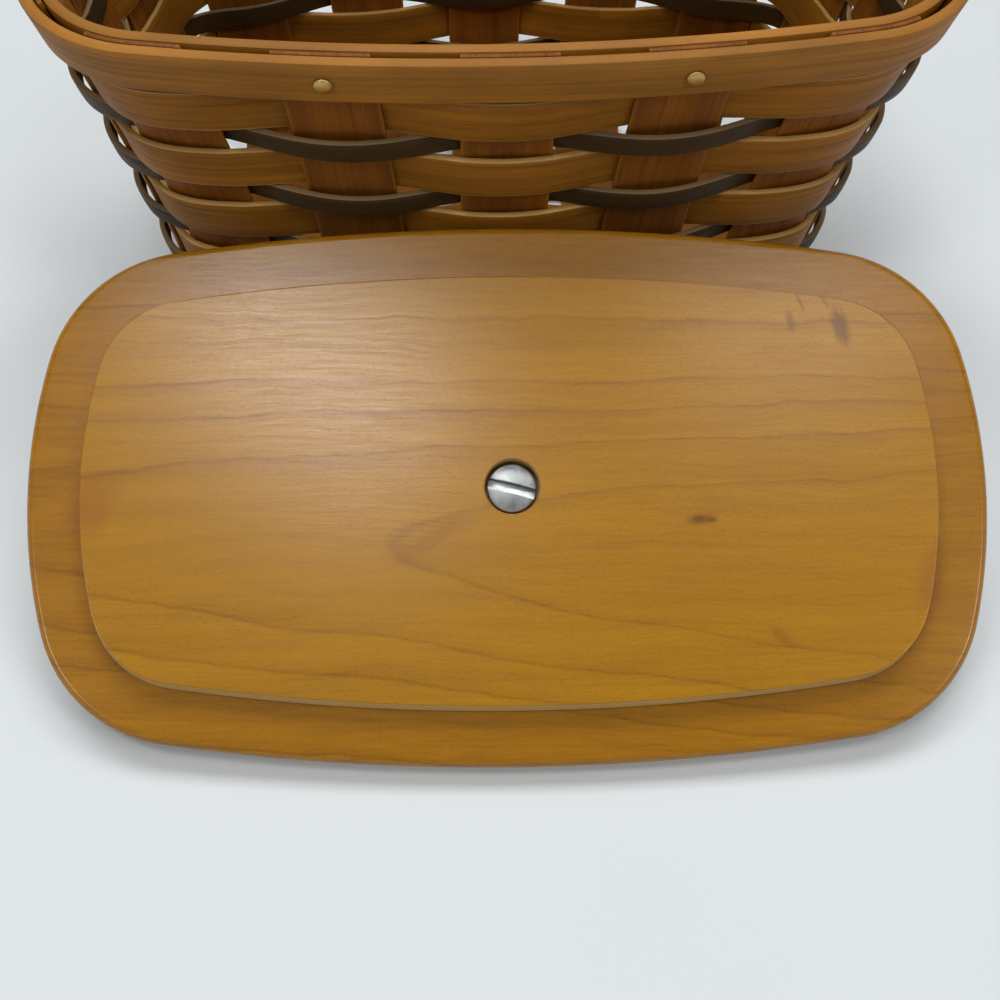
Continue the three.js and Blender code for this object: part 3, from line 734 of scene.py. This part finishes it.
def board_grain(name):
    """Flat-sawn board: growth lines as nested parabolas, with fibres that follow them."""
    inputs = [("Place", VECTOR), ("Light", COLOUR), ("Dark", COLOUR)]
    outputs = [("Colour", COLOUR), ("Roughness", VALUE), ("Height", VALUE)]
    group, bench, given, gives = node_group(name, inputs, outputs)
    local = bench.stretch(given["Place"], (1000.0, 1000.0, 1000.0))
    drift = bench.noise(bench.stretch(local, (0.020, 0.045, 0.045)), 1.0, 3.0, 0.5)
    ripple = bench.noise(bench.stretch(local, (0.10, 0.16, 0.16)), 1.0, 2.0, 0.5)
    parts = bench.add("ShaderNodeSeparateXYZ", [(0, local)]).outputs
    along, across, deep = parts[0], parts[1], parts[2]
    swung = bench.maths("MULTIPLY_ADD", bench.maths("SUBTRACT", drift, 0.5), 7.0, across)
    stirred = bench.maths("MULTIPLY_ADD", bench.maths("SUBTRACT", ripple, 0.5), 1.6, swung)
    tilted = bench.maths("MULTIPLY_ADD", deep, 0.7, stirred)
    heart = bench.maths("MULTIPLY_ADD", along, -0.05, -11.5)
    off_heart = bench.maths("SUBTRACT", tilted, heart)
    squared = bench.maths("MULTIPLY", off_heart, off_heart)
    bowl = bench.maths("MULTIPLY_ADD", along, -4.5, squared)
    ring = bench.maths("SQRT", bench.maths("MAXIMUM", bowl, 0.0))
    stops = [(0.0, 0.0)]
    for line in (0.163, 0.371, 0.503, 0.606, 0.820):
        stops += [(line - 0.050, 0.02), (line - 0.008, 0.30), (line, 1.0), (line + 0.008, 0.0)]
    lines = bench.ramp(bench.maths("MULTIPLY", ring, 1.0 / 70.0), stops)
    flow = bench.add("ShaderNodeCombineXYZ", [(0, along), (1, tilted), (2, deep)]).outputs[0]
    fibre = bench.noise(bench.stretch(flow, (0.07, 2.2, 0.4)), 1.0, 5.0, 0.62)
    veins = bench.noise(bench.stretch(flow, (0.010, 0.16, 0.2)), 1.0, 3.0, 0.55)
    flecks = bench.noise(bench.stretch(flow, (0.75, 4.2, 0.5)), 1.0, 2.0, 0.5)
    vein_mask = bench.span(veins, 0.35, 0.75, 0.0, 0.22)
    fibre_mask = bench.span(fibre, 0.40, 0.72, 0.0, 0.26)
    fleck_mask = bench.span(flecks, 0.50, 0.72, 0.0, 0.34)
    soft_lines = bench.maths("MULTIPLY", lines, 0.42)
    figure = bench.maths("ADD", soft_lines, vein_mask)
    depth = bench.maths("ADD", figure, bench.maths("ADD", fibre_mask, fleck_mask))
    capped = bench.maths("MINIMUM", depth, 1.0)
    bench.join(bench.blend(capped, given["Light"], given["Dark"]), gives["Colour"])
    bench.join(bench.span(fibre, 0.25, 0.75, 0.18, 0.25), gives["Roughness"])
    bench.join(bench.maths("SUBTRACT", fibre, fleck_mask), gives["Height"])
    return group


def brushed_metal(name):
    """Handled metal: fine brushing, dull patches and a little dirt."""
    inputs = [("Place", VECTOR), ("Metal", COLOUR), ("Dirt", COLOUR)]
    outputs = [("Colour", COLOUR), ("Roughness", VALUE), ("Height", VALUE)]
    group, bench, given, gives = node_group(name, inputs, outputs)
    brushing = bench.noise(bench.stretch(given["Place"], (500.0, 6000.0, 500.0)), 1.0, 3.0, 0.6)
    dull = bench.noise(given["Place"], 420.0, 4.0, 0.6)
    dirt = bench.span(dull, 0.52, 0.74, 0.0, 0.55)
    bench.join(bench.blend(dirt, given["Metal"], given["Dirt"]), gives["Colour"])
    worn = bench.span(dull, 0.30, 0.75, 0.28, 0.46)
    bench.join(bench.maths("MULTIPLY_ADD", brushing, 0.10, worn), gives["Roughness"])
    bench.join(brushing, gives["Height"])
    return group


def new_material(name):
    """A fresh material, with its bench and its surface shader."""
    material = bpy.data.materials.new(name)
    material.use_nodes = True
    material.node_tree.nodes.clear()
    bench = NodeBench(material.node_tree)
    surface = bench.add("ShaderNodeBsdfPrincipled")
    out = bench.add("ShaderNodeOutputMaterial")
    bench.join(surface.outputs[0], out.inputs[0])
    return material, bench, surface


def place_group(bench, build, feeds):
    """Puts a shared node group into a material, and builds the group the first time."""
    name = build.__name__.replace("_", " ").capitalize()
    group = bpy.data.node_groups.get(name) or build(name)
    return bench.add("ShaderNodeGroup", feeds, node_tree=group).outputs


def show(bench, surface, toned, group, strength, distance):
    """Gives a surface its colour, and its roughness and relief from a node group."""
    bench.join(toned, surface.inputs["Base Color"])
    bench.join(group["Roughness"], surface.inputs["Roughness"])
    feeds = [("Strength", strength), ("Distance", distance), ("Height", group["Height"])]
    bump = bench.add("ShaderNodeBump", feeds)
    bench.join(bump.outputs[0], surface.inputs["Normal"])


def strip_wood(name, wood, edge, fibre_share, strength):
    """Material of a bent strip, whose grain follows the strip's own UV map."""
    if name in bpy.data.materials:
        return bpy.data.materials[name]
    material, bench, surface = new_material(name)
    feeds = [
        ("Grain", bench.add("ShaderNodeUVMap", uv_map="Grain").outputs[0]),
        ("Breadth", bench.add("ShaderNodeUVMap", uv_map="Breadth").outputs[0]),
        ("Wood", colour(wood)),
        ("Fibre", scaled(wood, fibre_share)),
        ("Edge", colour(edge)),
        ("Strength", strength),
    ]
    grain = place_group(bench, strip_grain, feeds)
    surface.inputs["Specular IOR Level"].default_value = 0.22
    show(bench, surface, grain["Colour"], grain, 0.35, 0.0004)
    return material


def lid_place(bench, pose, shift=(0.0, 0.0, 0.0)):
    """Object coordinates turned into the lid's own frame."""
    spot, turn = pose
    place = bench.add("ShaderNodeTexCoord").outputs["Object"]
    feeds = [("Vector", place), ("Location", tuple(spot)), ("Rotation", tuple(turn))]
    local = bench.add("ShaderNodeMapping", feeds, vector_type="TEXTURE").outputs[0]
    return bench.stretch(local, (1.0, 1.0, 1.0), shift)


def lid_grain(bench, finish, place):
    feeds = [
        ("Place", place),
        ("Light", colour(finish.lid_light)),
        ("Dark", colour(finish.lid_dark)),
    ]
    return place_group(bench, board_grain, feeds)


def show_varnished(bench, surface, toned, grain):
    """The thin, smooth varnish of the lid and its knob."""
    surface.inputs["Specular IOR Level"].default_value = 0.36
    show(bench, surface, toned, grain, 0.055, 0.0003)


def lid_wood(finish, pose, panel_step):
    """Lid board: pale panel with growth lines, a knot, stains and warm ends; a cut ledge made darker,
    partly its own tone and partly painted shade; and a cut wall paled by a painted reflection.
    """
    material, bench, surface = new_material("Lid wood")
    place = lid_place(bench, pose)
    grain = lid_grain(bench, finish, place)
    toned = grain["Colour"]
    spots = [
        # Warm heart of the figure, warm panel ends, and a darker place in the lower growth line.
        ((-0.020, -0.013, 0.0), 32.0, (0.015, 0.0026, 1.0), 0.9, finish.reddish, 0.40),
        ((-0.103, -0.004, 0.0), 60.0, (0.012, 0.008, 1.0), 0.9, finish.reddish, 0.50),
        ((0.103, -0.024, 0.0), 80.0, (0.013, 0.006, 1.0), 0.9, finish.reddish, 0.50),
        ((0.0650, -0.0372, 0.0), -42.0, (0.0056, 0.0020, 1.0), 0.9, finish.lid_dark, 0.40),
        # The knot and its shadow.
        ((0.0462, -0.0084, 0.0), 4.0, (0.0052, 0.0017, 1.0), 0.7, finish.lid_dark, 0.8),
        ((0.0455, -0.0082, 0.0), 4.0, (0.0019, 0.0009, 1.0), 0.4, finish.stain, 0.9),
        ((0.0488, -0.0086, 0.0), 4.0, (0.0016, 0.0007, 1.0), 0.4, finish.stain, 0.8),
        # Small stains near the rear edge.
        ((0.0826, 0.0398, 0.0), -78.0, (0.0068, 0.0027, 1.0), 1.0, finish.stain, 0.80),
        ((0.0726, 0.0462, 0.0), -66.0, (0.0042, 0.0006, 1.0), 0.9, finish.stain, 0.50),
        ((0.0785, 0.0468, 0.0), -56.0, (0.0036, 0.0006, 1.0), 0.9, finish.stain, 0.45),
        ((0.0700, 0.0412, 0.0), -80.0, (0.0038, 0.0014, 1.0), 1.0, finish.stain, 0.55),
    ]
    for centre, turn, size, ragged, ink, strength in spots:
        feeds = [
            ("Place", place),
            ("Centre", centre),
            ("Turn", (0.0, 0.0, math.radians(turn))),
            ("Size", size),
            ("Ragged", ragged),
        ]
        mask = place_group(bench, spot_mask, feeds)["Mask"]
        toned = bench.blend(bench.maths("MULTIPLY", mask, strength), toned, colour(ink))
    height = bench.add("ShaderNodeSeparateXYZ", [(0, place)]).outputs[2]
    above = bench.span(height, 0.10 * panel_step, 0.45 * panel_step)
    streaks = bench.noise(bench.stretch(place, (60.0, 900.0, 300.0)), 1.0, 4.0, 0.6)
    streak_mask = bench.span(streaks, 0.40, 0.72, 0.0, 0.28)
    streaked = bench.blend(streak_mask, toned, colour(finish.lid_dark))
    # Darkens the ledge: partly the ledge's own tone, partly painted shade where the panel's step shades
    # it.
    cut = bench.blend(1.0, streaked, colour(finish.ledge), "MULTIPLY")
    toned = bench.blend(above, cut, toned)
    # Painted reflection: the cut wall between the ledge and the panel is blended towards a pale tone
    # that stands in for the light it catches from the front; the bore's wall in the same band gets it
    # too.
    wall_foot = bench.span(height, 0.05 * panel_step, 0.20 * panel_step)
    wall_top = bench.span(height, 0.93 * panel_step, 0.985 * panel_step, 1.0, 0.0)
    painted_wall_reflection = bench.maths("MULTIPLY", bench.maths("MULTIPLY", wall_foot, wall_top), 0.85)
    toned = bench.blend(painted_wall_reflection, toned, colour(finish.cut_wall_reflection))
    show_varnished(bench, surface, toned, grain)
    return material


def knob_wood(finish, pose):
    """The knob's wood, the board's own kind with its grain in another place."""
    material, bench, surface = new_material("Knob wood")
    place = lid_place(bench, pose, (0.031, 0.024, 0.0))
    grain = lid_grain(bench, finish, place)
    show_varnished(bench, surface, grain["Colour"], grain)
    return material


def metal(name, tone, dirt_share):
    if name in bpy.data.materials:
        return bpy.data.materials[name]
    material, bench, surface = new_material(name)
    place = bench.add("ShaderNodeTexCoord").outputs["Object"]
    feeds = [("Place", place), ("Metal", colour(tone)), ("Dirt", scaled(tone, dirt_share))]
    handled = place_group(bench, brushed_metal, feeds)
    surface.inputs["Metallic"].default_value = 1.0
    show(bench, surface, handled["Colour"], handled, 0.12, 0.0001)
    return material


class BASKET_OT_lay_splints(bpy.types.Operator):
    """Lay the splints across the base and bend them up into the walls"""

    bl_idname = "basket.lay_splints"
    bl_label = "Lay Splints"

    def execute(self, context):
        form = BasketForm(context.scene)
        finish = context.scene.basket_finish
        wood = strip_wood("Splint wood", finish.splint, finish.broad, 0.48, 0.65)
        cross_places = [form.at(form.uprights[pair[0]], form.bend_top)[0] for pair in CROSS_PAIRS]
        long_places = [form.at(form.uprights[pair[0]], form.bend_top)[1] for pair in LONG_PAIRS]
        jobs = []
        for number, pair in enumerate(CROSS_PAIRS):
            low = lambda row, number=number: (number + row) % 2 == 1
            jobs.append((f"cross_splint_{number + 1}", pair, 1, cross_places[number], long_places, low))
        for row, pair in enumerate(LONG_PAIRS):
            low = lambda number, row=row: (number + row) % 2 == 0
            jobs.append((f"long_splint_{row + 1}", pair, 0, long_places[row], cross_places, low))
        for count, (node, pair, runs, place, crossings, low) in enumerate(jobs):
            rails = splint_rails(form, pair, runs, place, crossings, low)
            start = (0.71 * count, 0.083 * count)
            thickness = form.wall.splint_thickness
            lay_strip(node, rails, thickness, SPLINT_EDGE, False, start, wood)
        return {"FINISHED"}


class BASKET_OT_weave_broad(bpy.types.Operator):
    """Weave the broad plain rows"""

    bl_idname = "basket.weave_broad"
    bl_label = "Weave Broad Rows"

    def execute(self, context):
        form = BasketForm(context.scene)
        finish = context.scene.basket_finish
        wood = strip_wood("Broad weaver wood", finish.broad, finish.broad_edge, 0.50, 0.62)
        for row in range(form.wall.broad_rows):
            foot = form.wall.first_row + row * form.row_pitch
            rails = weaver_rails(form, foot, form.broad_width, 0.0, True, BROAD_SEED + row)
            start = (1.3 * row, 0.047 * row)
            node = f"broad_weaver_{row + 1}"
            thickness = form.wall.weaver_thickness
            lay_strip(node, rails, thickness, WEAVER_EDGE, True, start, wood)
        return {"FINISHED"}


class BASKET_OT_weave_narrow(bpy.types.Operator):
    """Weave the narrow dyed rows"""

    bl_idname = "basket.weave_narrow"
    bl_label = "Weave Narrow Rows"

    def execute(self, context):
        form = BasketForm(context.scene)
        finish = context.scene.basket_finish
        wood = strip_wood("Dyed weaver wood", finish.dyed, finish.dyed_edge, 0.50, 0.70)
        for row in range(form.wall.broad_rows - 1):
            foot = form.wall.first_row + row * form.row_pitch + form.broad_width + form.wall.row_gap
            swell = form.wall.narrow_swell
            rails = weaver_rails(form, foot, form.narrow_width, swell, False, NARROW_SEED + row)
            start = (1.7 * row, 0.059 * row)
            node = f"narrow_weaver_{row + 1}"
            thickness = form.wall.weaver_thickness
            lay_strip(node, rails, thickness, WEAVER_EDGE, True, start, wood)
        return {"FINISHED"}


class BASKET_OT_bend_bands(bpy.types.Operator):
    """Bend the two rim bands, outside and inside the splint ends"""

    bl_idname = "basket.bend_bands"
    bl_label = "Bend Rim Bands"

    def execute(self, context):
        form = BasketForm(context.scene)
        finish = context.scene.basket_finish
        wood = strip_wood("Rim band wood", finish.band, finish.band, 0.50, 0.6)
        shares = form.uprights[8] + np.arange(BAND_STATIONS + 1) / BAND_STATIONS
        heights = np.linspace(form.band_foot, form.wall.height, BAND_RAILS)
        for count, (name, side) in enumerate((("outer", 1.0), ("inner", -1.0))):
            rails = form.at(shares[:, None], heights, side * form.band_offset)
            start = (0.9 * count, 0.07 * count)
            node = f"rim_band_{name}"
            thickness = form.wall.band_thickness
            lay_strip(node, rails, thickness, BAND_EDGE, True, start, wood)
        return {"FINISHED"}


class BASKET_OT_drive_tacks(bpy.types.Operator):
    """Drive the tacks that hold the rim bands on every second upright"""

    bl_idname = "basket.drive_tacks"
    bl_label = "Drive Tacks"

    def execute(self, context):
        form = BasketForm(context.scene)
        wall = form.wall
        material = metal("Tack brass", context.scene.basket_finish.brass, 0.35)
        seat = 0.5 * wall.splint_thickness + 2.0 * wall.clearance + wall.band_thickness
        tip = -0.5 * (wall.splint_thickness + wall.band_thickness)
        crown = seat + wall.tack_height
        profile = [
            (0.1 * wall.tack_shank, tip),
            (wall.tack_shank, tip + TACK_POINT),
            (wall.tack_shank, seat),
            (wall.tack_radius, seat + TACK_STEP),
        ]
        for angle in np.radians(np.linspace(12.0, 86.0, 8)):
            profile.append((wall.tack_radius * math.cos(angle), seat + (crown - seat) * math.sin(angle)))
        tack = turned("tack_pattern", profile, 24)
        smooth(tack, 40)
        height = form.band_foot + 0.5 * wall.band_height
        for number, upright in enumerate(form.uprights[1::2]):
            up = Vector(form.at(upright, wall.height) - form.at(upright, form.band_foot)).normalized()
            outward = form.ring(upright, height)[1]
            side = Vector((outward[0], outward[1], 0.0)).cross(up).normalized()
            out = up.cross(side)
            seat_place = Matrix.Translation(Vector(form.at(upright, height)))
            basis = Matrix((up, -side, out)).transposed().to_4x4()
            piece = tack.copy()
            piece.data = tack.data.copy()
            name_piece(piece, f"dressed_rim_tack_{number + 1}")
            context.scene.collection.objects.link(piece)
            piece.data.transform(seat_place @ basis)
            turn_faces_out(piece)
            dress(piece, material, "basket", f"rim_tack_{number + 1}")
        bpy.data.objects.remove(tack)
        return {"FINISHED"}


class BASKET_OT_cut_lid(bpy.types.Operator):
    """Cut the lid board: its outline, the ledge round the panel, the rounded edges and the bore"""

    bl_idname = "basket.cut_lid"
    bl_label = "Cut Lid Board"

    def execute(self, context):
        form = BasketForm(context.scene)
        lid = form.lid
        knob = context.scene.basket_knob
        pose = form.lid_pose(knob)
        deselect_all()
        bpy.ops.mesh.primitive_circle_add(vertices=LID_EDGE_POINTS, radius=1.0, fill_type="NGON")
        piece = bpy.context.object
        name_piece(piece, "dressed_lid_board")
        shares = np.arange(LID_EDGE_POINTS) / LID_EDGE_POINTS
        ring, _, _ = outline(0.5 * lid.length, 0.5 * lid.width, lid_radii(lid), shares)
        for vertex, spot in zip(piece.data.vertices, ring):
            vertex.co = (spot[0], spot[1], -lid.ledge_thickness)
        self.raise_top(piece, 0.0, lid.ledge_thickness)
        self.ease_loop(piece, -lid.ledge_thickness, lid.edge_round)
        self.ease_loop(piece, 0.0, lid.edge_round)
        self.raise_top(piece, lid.ledge_width - lid.edge_round, lid.panel_step, lid.panel_draft)
        self.ease_loop(piece, lid.panel_step, lid.panel_ease, 2)
        floor = lid.panel_step - knob.recess - knob.head_height - form.wall.clearance
        hole = 0.5 * knob.shank_diameter + form.wall.clearance
        bore = 0.5 * lid.bore_diameter
        profile = [
            (hole, -lid.ledge_thickness - OVERCUT),
            (hole, floor),
            (bore, floor + FLAT_STEP),
            (bore, lid.panel_step - BORE_LIP),
            (bore + BORE_LIP, lid.panel_step),
            (bore + BORE_LIP, lid.panel_step + OVERCUT),
        ]
        cut_with(piece, turned("bore_cutter", profile))
        smooth(piece, 35)
        finish_with(piece, "WEIGHTED_NORMAL", keep_sharp=True, weight=100)
        lay_on_floor(piece, pose)
        finish = context.scene.basket_finish
        dress(piece, lid_wood(finish, pose, lid.panel_step), "lid", "lid_board")
        return {"FINISHED"}

    def select_none(self, piece, kind):
        take_up(piece)
        bpy.ops.object.mode_set(mode="EDIT")
        bpy.ops.mesh.select_mode(type=kind)
        bpy.ops.mesh.select_all(action="DESELECT")
        bpy.ops.object.mode_set(mode="OBJECT")

    def raise_top(self, piece, inset, rise, draft=0.0):
        """Draws the top face in by an inset and raises it, with a wall that may lean in."""
        self.select_none(piece, "FACE")
        faces = piece.data.polygons
        max(faces, key=lambda face: (round(face.center.z, 6), face.area)).select = True
        bpy.ops.object.mode_set(mode="EDIT")
        if inset > 0.0:
            bpy.ops.mesh.inset(thickness=inset, use_even_offset=True)
        if draft > 0.0:
            bpy.ops.mesh.inset(thickness=draft, use_even_offset=True)
            bpy.ops.transform.translate(value=(0.0, 0.0, rise))
        else:
            bpy.ops.mesh.extrude_region_move(TRANSFORM_OT_translate={"value": (0.0, 0.0, rise)})
        bpy.ops.object.mode_set(mode="OBJECT")
        turn_faces_out(piece)

    def ease_loop(self, piece, height, amount, segments=5):
        """Rounds the edge loop that lies at a height."""
        self.select_none(piece, "EDGE")
        mesh = piece.data
        level = {vertex.index for vertex in mesh.vertices if abs(vertex.co.z - height) < 0.00002}
        for edge in mesh.edges:
            edge.select = level.issuperset(edge.vertices)
        bpy.ops.object.mode_set(mode="EDIT")
        bpy.ops.mesh.bevel(offset=amount, segments=segments, affect="EDGES", offset_type="OFFSET")
        bpy.ops.object.mode_set(mode="OBJECT")


class BASKET_OT_turn_knob(bpy.types.Operator):
    """Turn the knob that stands on the lid's top face"""

    bl_idname = "basket.turn_knob"
    bl_label = "Turn Knob"

    def execute(self, context):
        form = BasketForm(context.scene)
        lid = form.lid
        knob = context.scene.basket_knob
        pose = form.lid_pose(knob)
        clearance = form.wall.clearance
        ball = knob.height - knob.ball_radius
        meets = ball - math.sqrt(knob.ball_radius ** 2 - knob.foot_radius ** 2)
        foot_top = max(knob.foot_height, meets)
        start = math.asin((foot_top - ball) / knob.ball_radius)
        radius = knob.ball_radius
        profile = [
            (knob.foot_radius - KNOB_EASE, clearance),
            (knob.foot_radius, clearance + KNOB_EASE),
        ]
        for angle in np.linspace(start, 0.5 * math.pi, 26)[:-1]:
            profile.append((radius * math.cos(angle), ball + radius * math.sin(angle)))
        profile.append((CROWN_RADIUS, knob.height))
        piece = turned("dressed_lid_knob", profile)
        hole = 0.5 * knob.shank_diameter + clearance
        pit = [
            (hole, -OVERCUT),
            (hole, knob.grip + 0.5 * OVERCUT),
            (CROWN_RADIUS, knob.grip + OVERCUT),
        ]
        cut_with(piece, turned("screw_hole", pit))
        take_up(piece)
        piece.rotation_euler = (math.pi, 0.0, 0.0)
        piece.location = (0.0, 0.0, -lid.ledge_thickness)
        bpy.ops.object.transform_apply(location=True, rotation=True, scale=True)
        smooth(piece, 40)
        lay_on_floor(piece, pose)
        dress(piece, knob_wood(context.scene.basket_finish, pose), "lid", "lid_knob")
        return {"FINISHED"}


class BASKET_OT_set_screw(bpy.types.Operator):
    """Set the slotted screw that holds the knob"""

    bl_idname = "basket.set_screw"
    bl_label = "Set Screw"

    def execute(self, context):
        form = BasketForm(context.scene)
        lid = form.lid
        knob = context.scene.basket_knob
        pose = form.lid_pose(knob)
        top = lid.panel_step - knob.recess
        foot = top - knob.head_height
        tip = -lid.ledge_thickness - knob.grip
        shank = 0.5 * knob.shank_diameter
        head = 0.5 * knob.head_diameter
        profile = [
            (0.6 * shank, tip),
            (shank, tip + SCREW_POINT),
            (shank, foot),
            (head, foot + FLAT_STEP),
            (head, top - knob.head_dome - HEAD_EASE),
        ]
        for part in np.linspace(0.97, 0.04, 14):
            profile.append((part * head, top - knob.head_dome * part ** 2))
        piece = turned("dressed_knob_screw", profile, 48)
        deselect_all()
        bpy.ops.mesh.primitive_cube_add(size=1.0, location=(0.0, 0.0, top))
        slot = bpy.context.object
        slot.scale = (2.0 * knob.head_diameter, knob.slot_width, 2.0 * knob.slot_depth)
        slot.rotation_euler = (-knob.slot_lean, 0.0, knob.slot_turn)
        bpy.ops.object.transform_apply(location=True, rotation=True, scale=True)
        cut_with(piece, slot)
        ease_edges(piece, SLOT_EASE, 60)
        smooth(piece, 35)
        lay_on_floor(piece, pose)
        steel = metal("Screw steel", context.scene.basket_finish.steel, 0.45)
        dress(piece, steel, "lid", "knob_screw")
        return {"FINISHED"}


class BASKET_OT_set_stage(bpy.types.Operator):
    """Set the stage: a pale floor, soft lamps and the camera"""

    bl_idname = "basket.set_stage"
    bl_label = "Set Stage"

    def execute(self, context):
        scene = context.scene
        self.floor(scene)
        for lamp in LAMPS:
            self.lamp(*lamp)
        self.world(scene)
        self.camera(scene)
        scene.view_settings.view_transform = "Standard"
        return {"FINISHED"}

    def floor(self, scene):
        deselect_all()
        bpy.ops.mesh.primitive_plane_add(size=40.0, location=(0.0, 0.0, -0.0001))
        floor = bpy.context.object
        name_piece(floor, "floor")
        bpy.ops.object.transform_apply(location=True, rotation=True, scale=True)
        material, bench, surface = new_material("Floor paper")
        place = bench.add("ShaderNodeTexCoord").outputs["Object"]
        mottle = bench.noise(place, 9.0, 2.0, 0.5)
        pale = colour(scene.basket_finish.floor)
        duller = scaled(scene.basket_finish.floor, 0.985)
        toned = bench.blend(bench.span(mottle, 0.3, 0.7), pale, duller)
        length = bench.add("ShaderNodeVectorMath", [(0, place)], operation="LENGTH")
        distance = length.outputs["Value"]
        far = bench.span(distance, FADE_START, FADE_END)
        near_tone = bench.blend(far, toned, BLACK)
        far_tone = bench.blend(far, BLACK, BACKDROP)
        bench.join(near_tone, surface.inputs["Base Color"])
        bench.join(far_tone, surface.inputs["Emission Color"])
        gloss = bench.span(distance, FADE_START, FADE_END, 0.5, 0.0)
        bench.join(gloss, surface.inputs["Specular IOR Level"])
        surface.inputs["Emission Strength"].default_value = 1.0
        surface.inputs["Roughness"].default_value = 0.85
        floor.data.materials.append(material)

    def lamp(self, name, spot, size, power, turn):
        """A soft lamp that hangs level above a spot on the floor."""
        data = bpy.data.lights.new(name, "AREA")
        data.shape = "RECTANGLE"
        data.size, data.size_y = size
        data.energy = power
        lamp = bpy.data.objects.new(name, data)
        lamp.location = (spot[0], spot[1], LAMP_HEIGHT)
        lamp.rotation_euler = (0.0, 0.0, math.radians(turn))
        bpy.context.scene.collection.objects.link(lamp)

    def world(self, scene):
        world = bpy.data.worlds.new("Studio")
        scene.world = world
        world.use_nodes = True
        world.node_tree.nodes.clear()
        bench = NodeBench(world.node_tree)
        path = bench.add("ShaderNodeLightPath").outputs
        soft = self.background(bench, (0.90, 0.95, 1.0, 1.0), 0.25)
        pale = self.background(bench, BACKDROP, 1.0)
        way = bench.add("ShaderNodeTexCoord").outputs["Generated"]
        rise = bench.add("ShaderNodeSeparateXYZ", [(0, way)]).outputs[2]
        level = bench.span(rise, 0.20, 0.60, 0.85, 0.12)
        walls = self.background(bench, (0.95, 0.97, 1.0, 1.0), level)
        lit = [(0, path["Is Glossy Ray"]), (1, soft), (2, walls)]
        lighting = bench.add("ShaderNodeMixShader", lit).outputs[0]
        seen = [(0, path["Is Camera Ray"]), (1, lighting), (2, pale)]
        mixed = bench.add("ShaderNodeMixShader", seen).outputs[0]
        bench.add("ShaderNodeOutputWorld", [(0, mixed)])

    def background(self, bench, tone, strength):
        feeds = [("Color", tone), ("Strength", strength)]
        return bench.add("ShaderNodeBackground", feeds).outputs[0]

    def camera(self, scene):
        data = bpy.data.cameras.new("Camera")
        data.sensor_width = 36.0
        data.lens = CAMERA_LENS
        data.clip_start = 0.01
        camera = bpy.data.objects.new("Camera", data)
        camera.location = CAMERA_PLACE
        camera.rotation_euler = [math.radians(angle) for angle in CAMERA_TURN]
        scene.collection.objects.link(camera)
        scene.camera = camera


class BASKET_PT_sidebar(bpy.types.Panel):
    """Lists the basket's operators and sizes in the sidebar"""

    bl_idname = "BASKET_PT_sidebar"
    bl_label = "Lidded Basket"
    bl_space_type = "VIEW_3D"
    bl_region_type = "UI"
    bl_category = "Basket"

    def draw(self, context):
        column = self.layout.column(align=True)
        for operator in OPERATORS:
            column.operator(operator.bl_idname)
        scene = context.scene
        for group in (scene.basket_lid, scene.basket_knob, scene.basket_wall, scene.basket_finish):
            box = self.layout.box()
            for name in group.bl_rna.properties.keys():
                if name not in {"rna_type", "name"}:
                    box.prop(group, name)


OPERATORS = (
    BASKET_OT_lay_splints,
    BASKET_OT_weave_broad,
    BASKET_OT_weave_narrow,
    BASKET_OT_bend_bands,
    BASKET_OT_drive_tacks,
    BASKET_OT_cut_lid,
    BASKET_OT_turn_knob,
    BASKET_OT_set_screw,
    BASKET_OT_set_stage,
)
GROUPS = (
    ("basket_lid", LidSizes),
    ("basket_knob", KnobSizes),
    ("basket_wall", WallSizes),
    ("basket_finish", Finishes),
)


def register():
    for name, group in GROUPS:
        bpy.utils.register_class(group)
        setattr(bpy.types.Scene, name, bpy.props.PointerProperty(type=group))
    for operator in OPERATORS:
        bpy.utils.register_class(operator)
    bpy.utils.register_class(BASKET_PT_sidebar)


def unregister():
    bpy.utils.unregister_class(BASKET_PT_sidebar)
    for operator in reversed(OPERATORS):
        bpy.utils.unregister_class(operator)
    for name, group in reversed(GROUPS):
        delattr(bpy.types.Scene, name)
        bpy.utils.unregister_class(group)


def main():
    register()
    bpy.ops.basket.set_stage()
    bpy.ops.basket.lay_splints()
    bpy.ops.basket.weave_broad()
    bpy.ops.basket.weave_narrow()
    bpy.ops.basket.bend_bands()
    bpy.ops.basket.drive_tacks()
    bpy.ops.basket.cut_lid()
    bpy.ops.basket.turn_knob()
    bpy.ops.basket.set_screw()


if __name__ == "__main__":
    main()
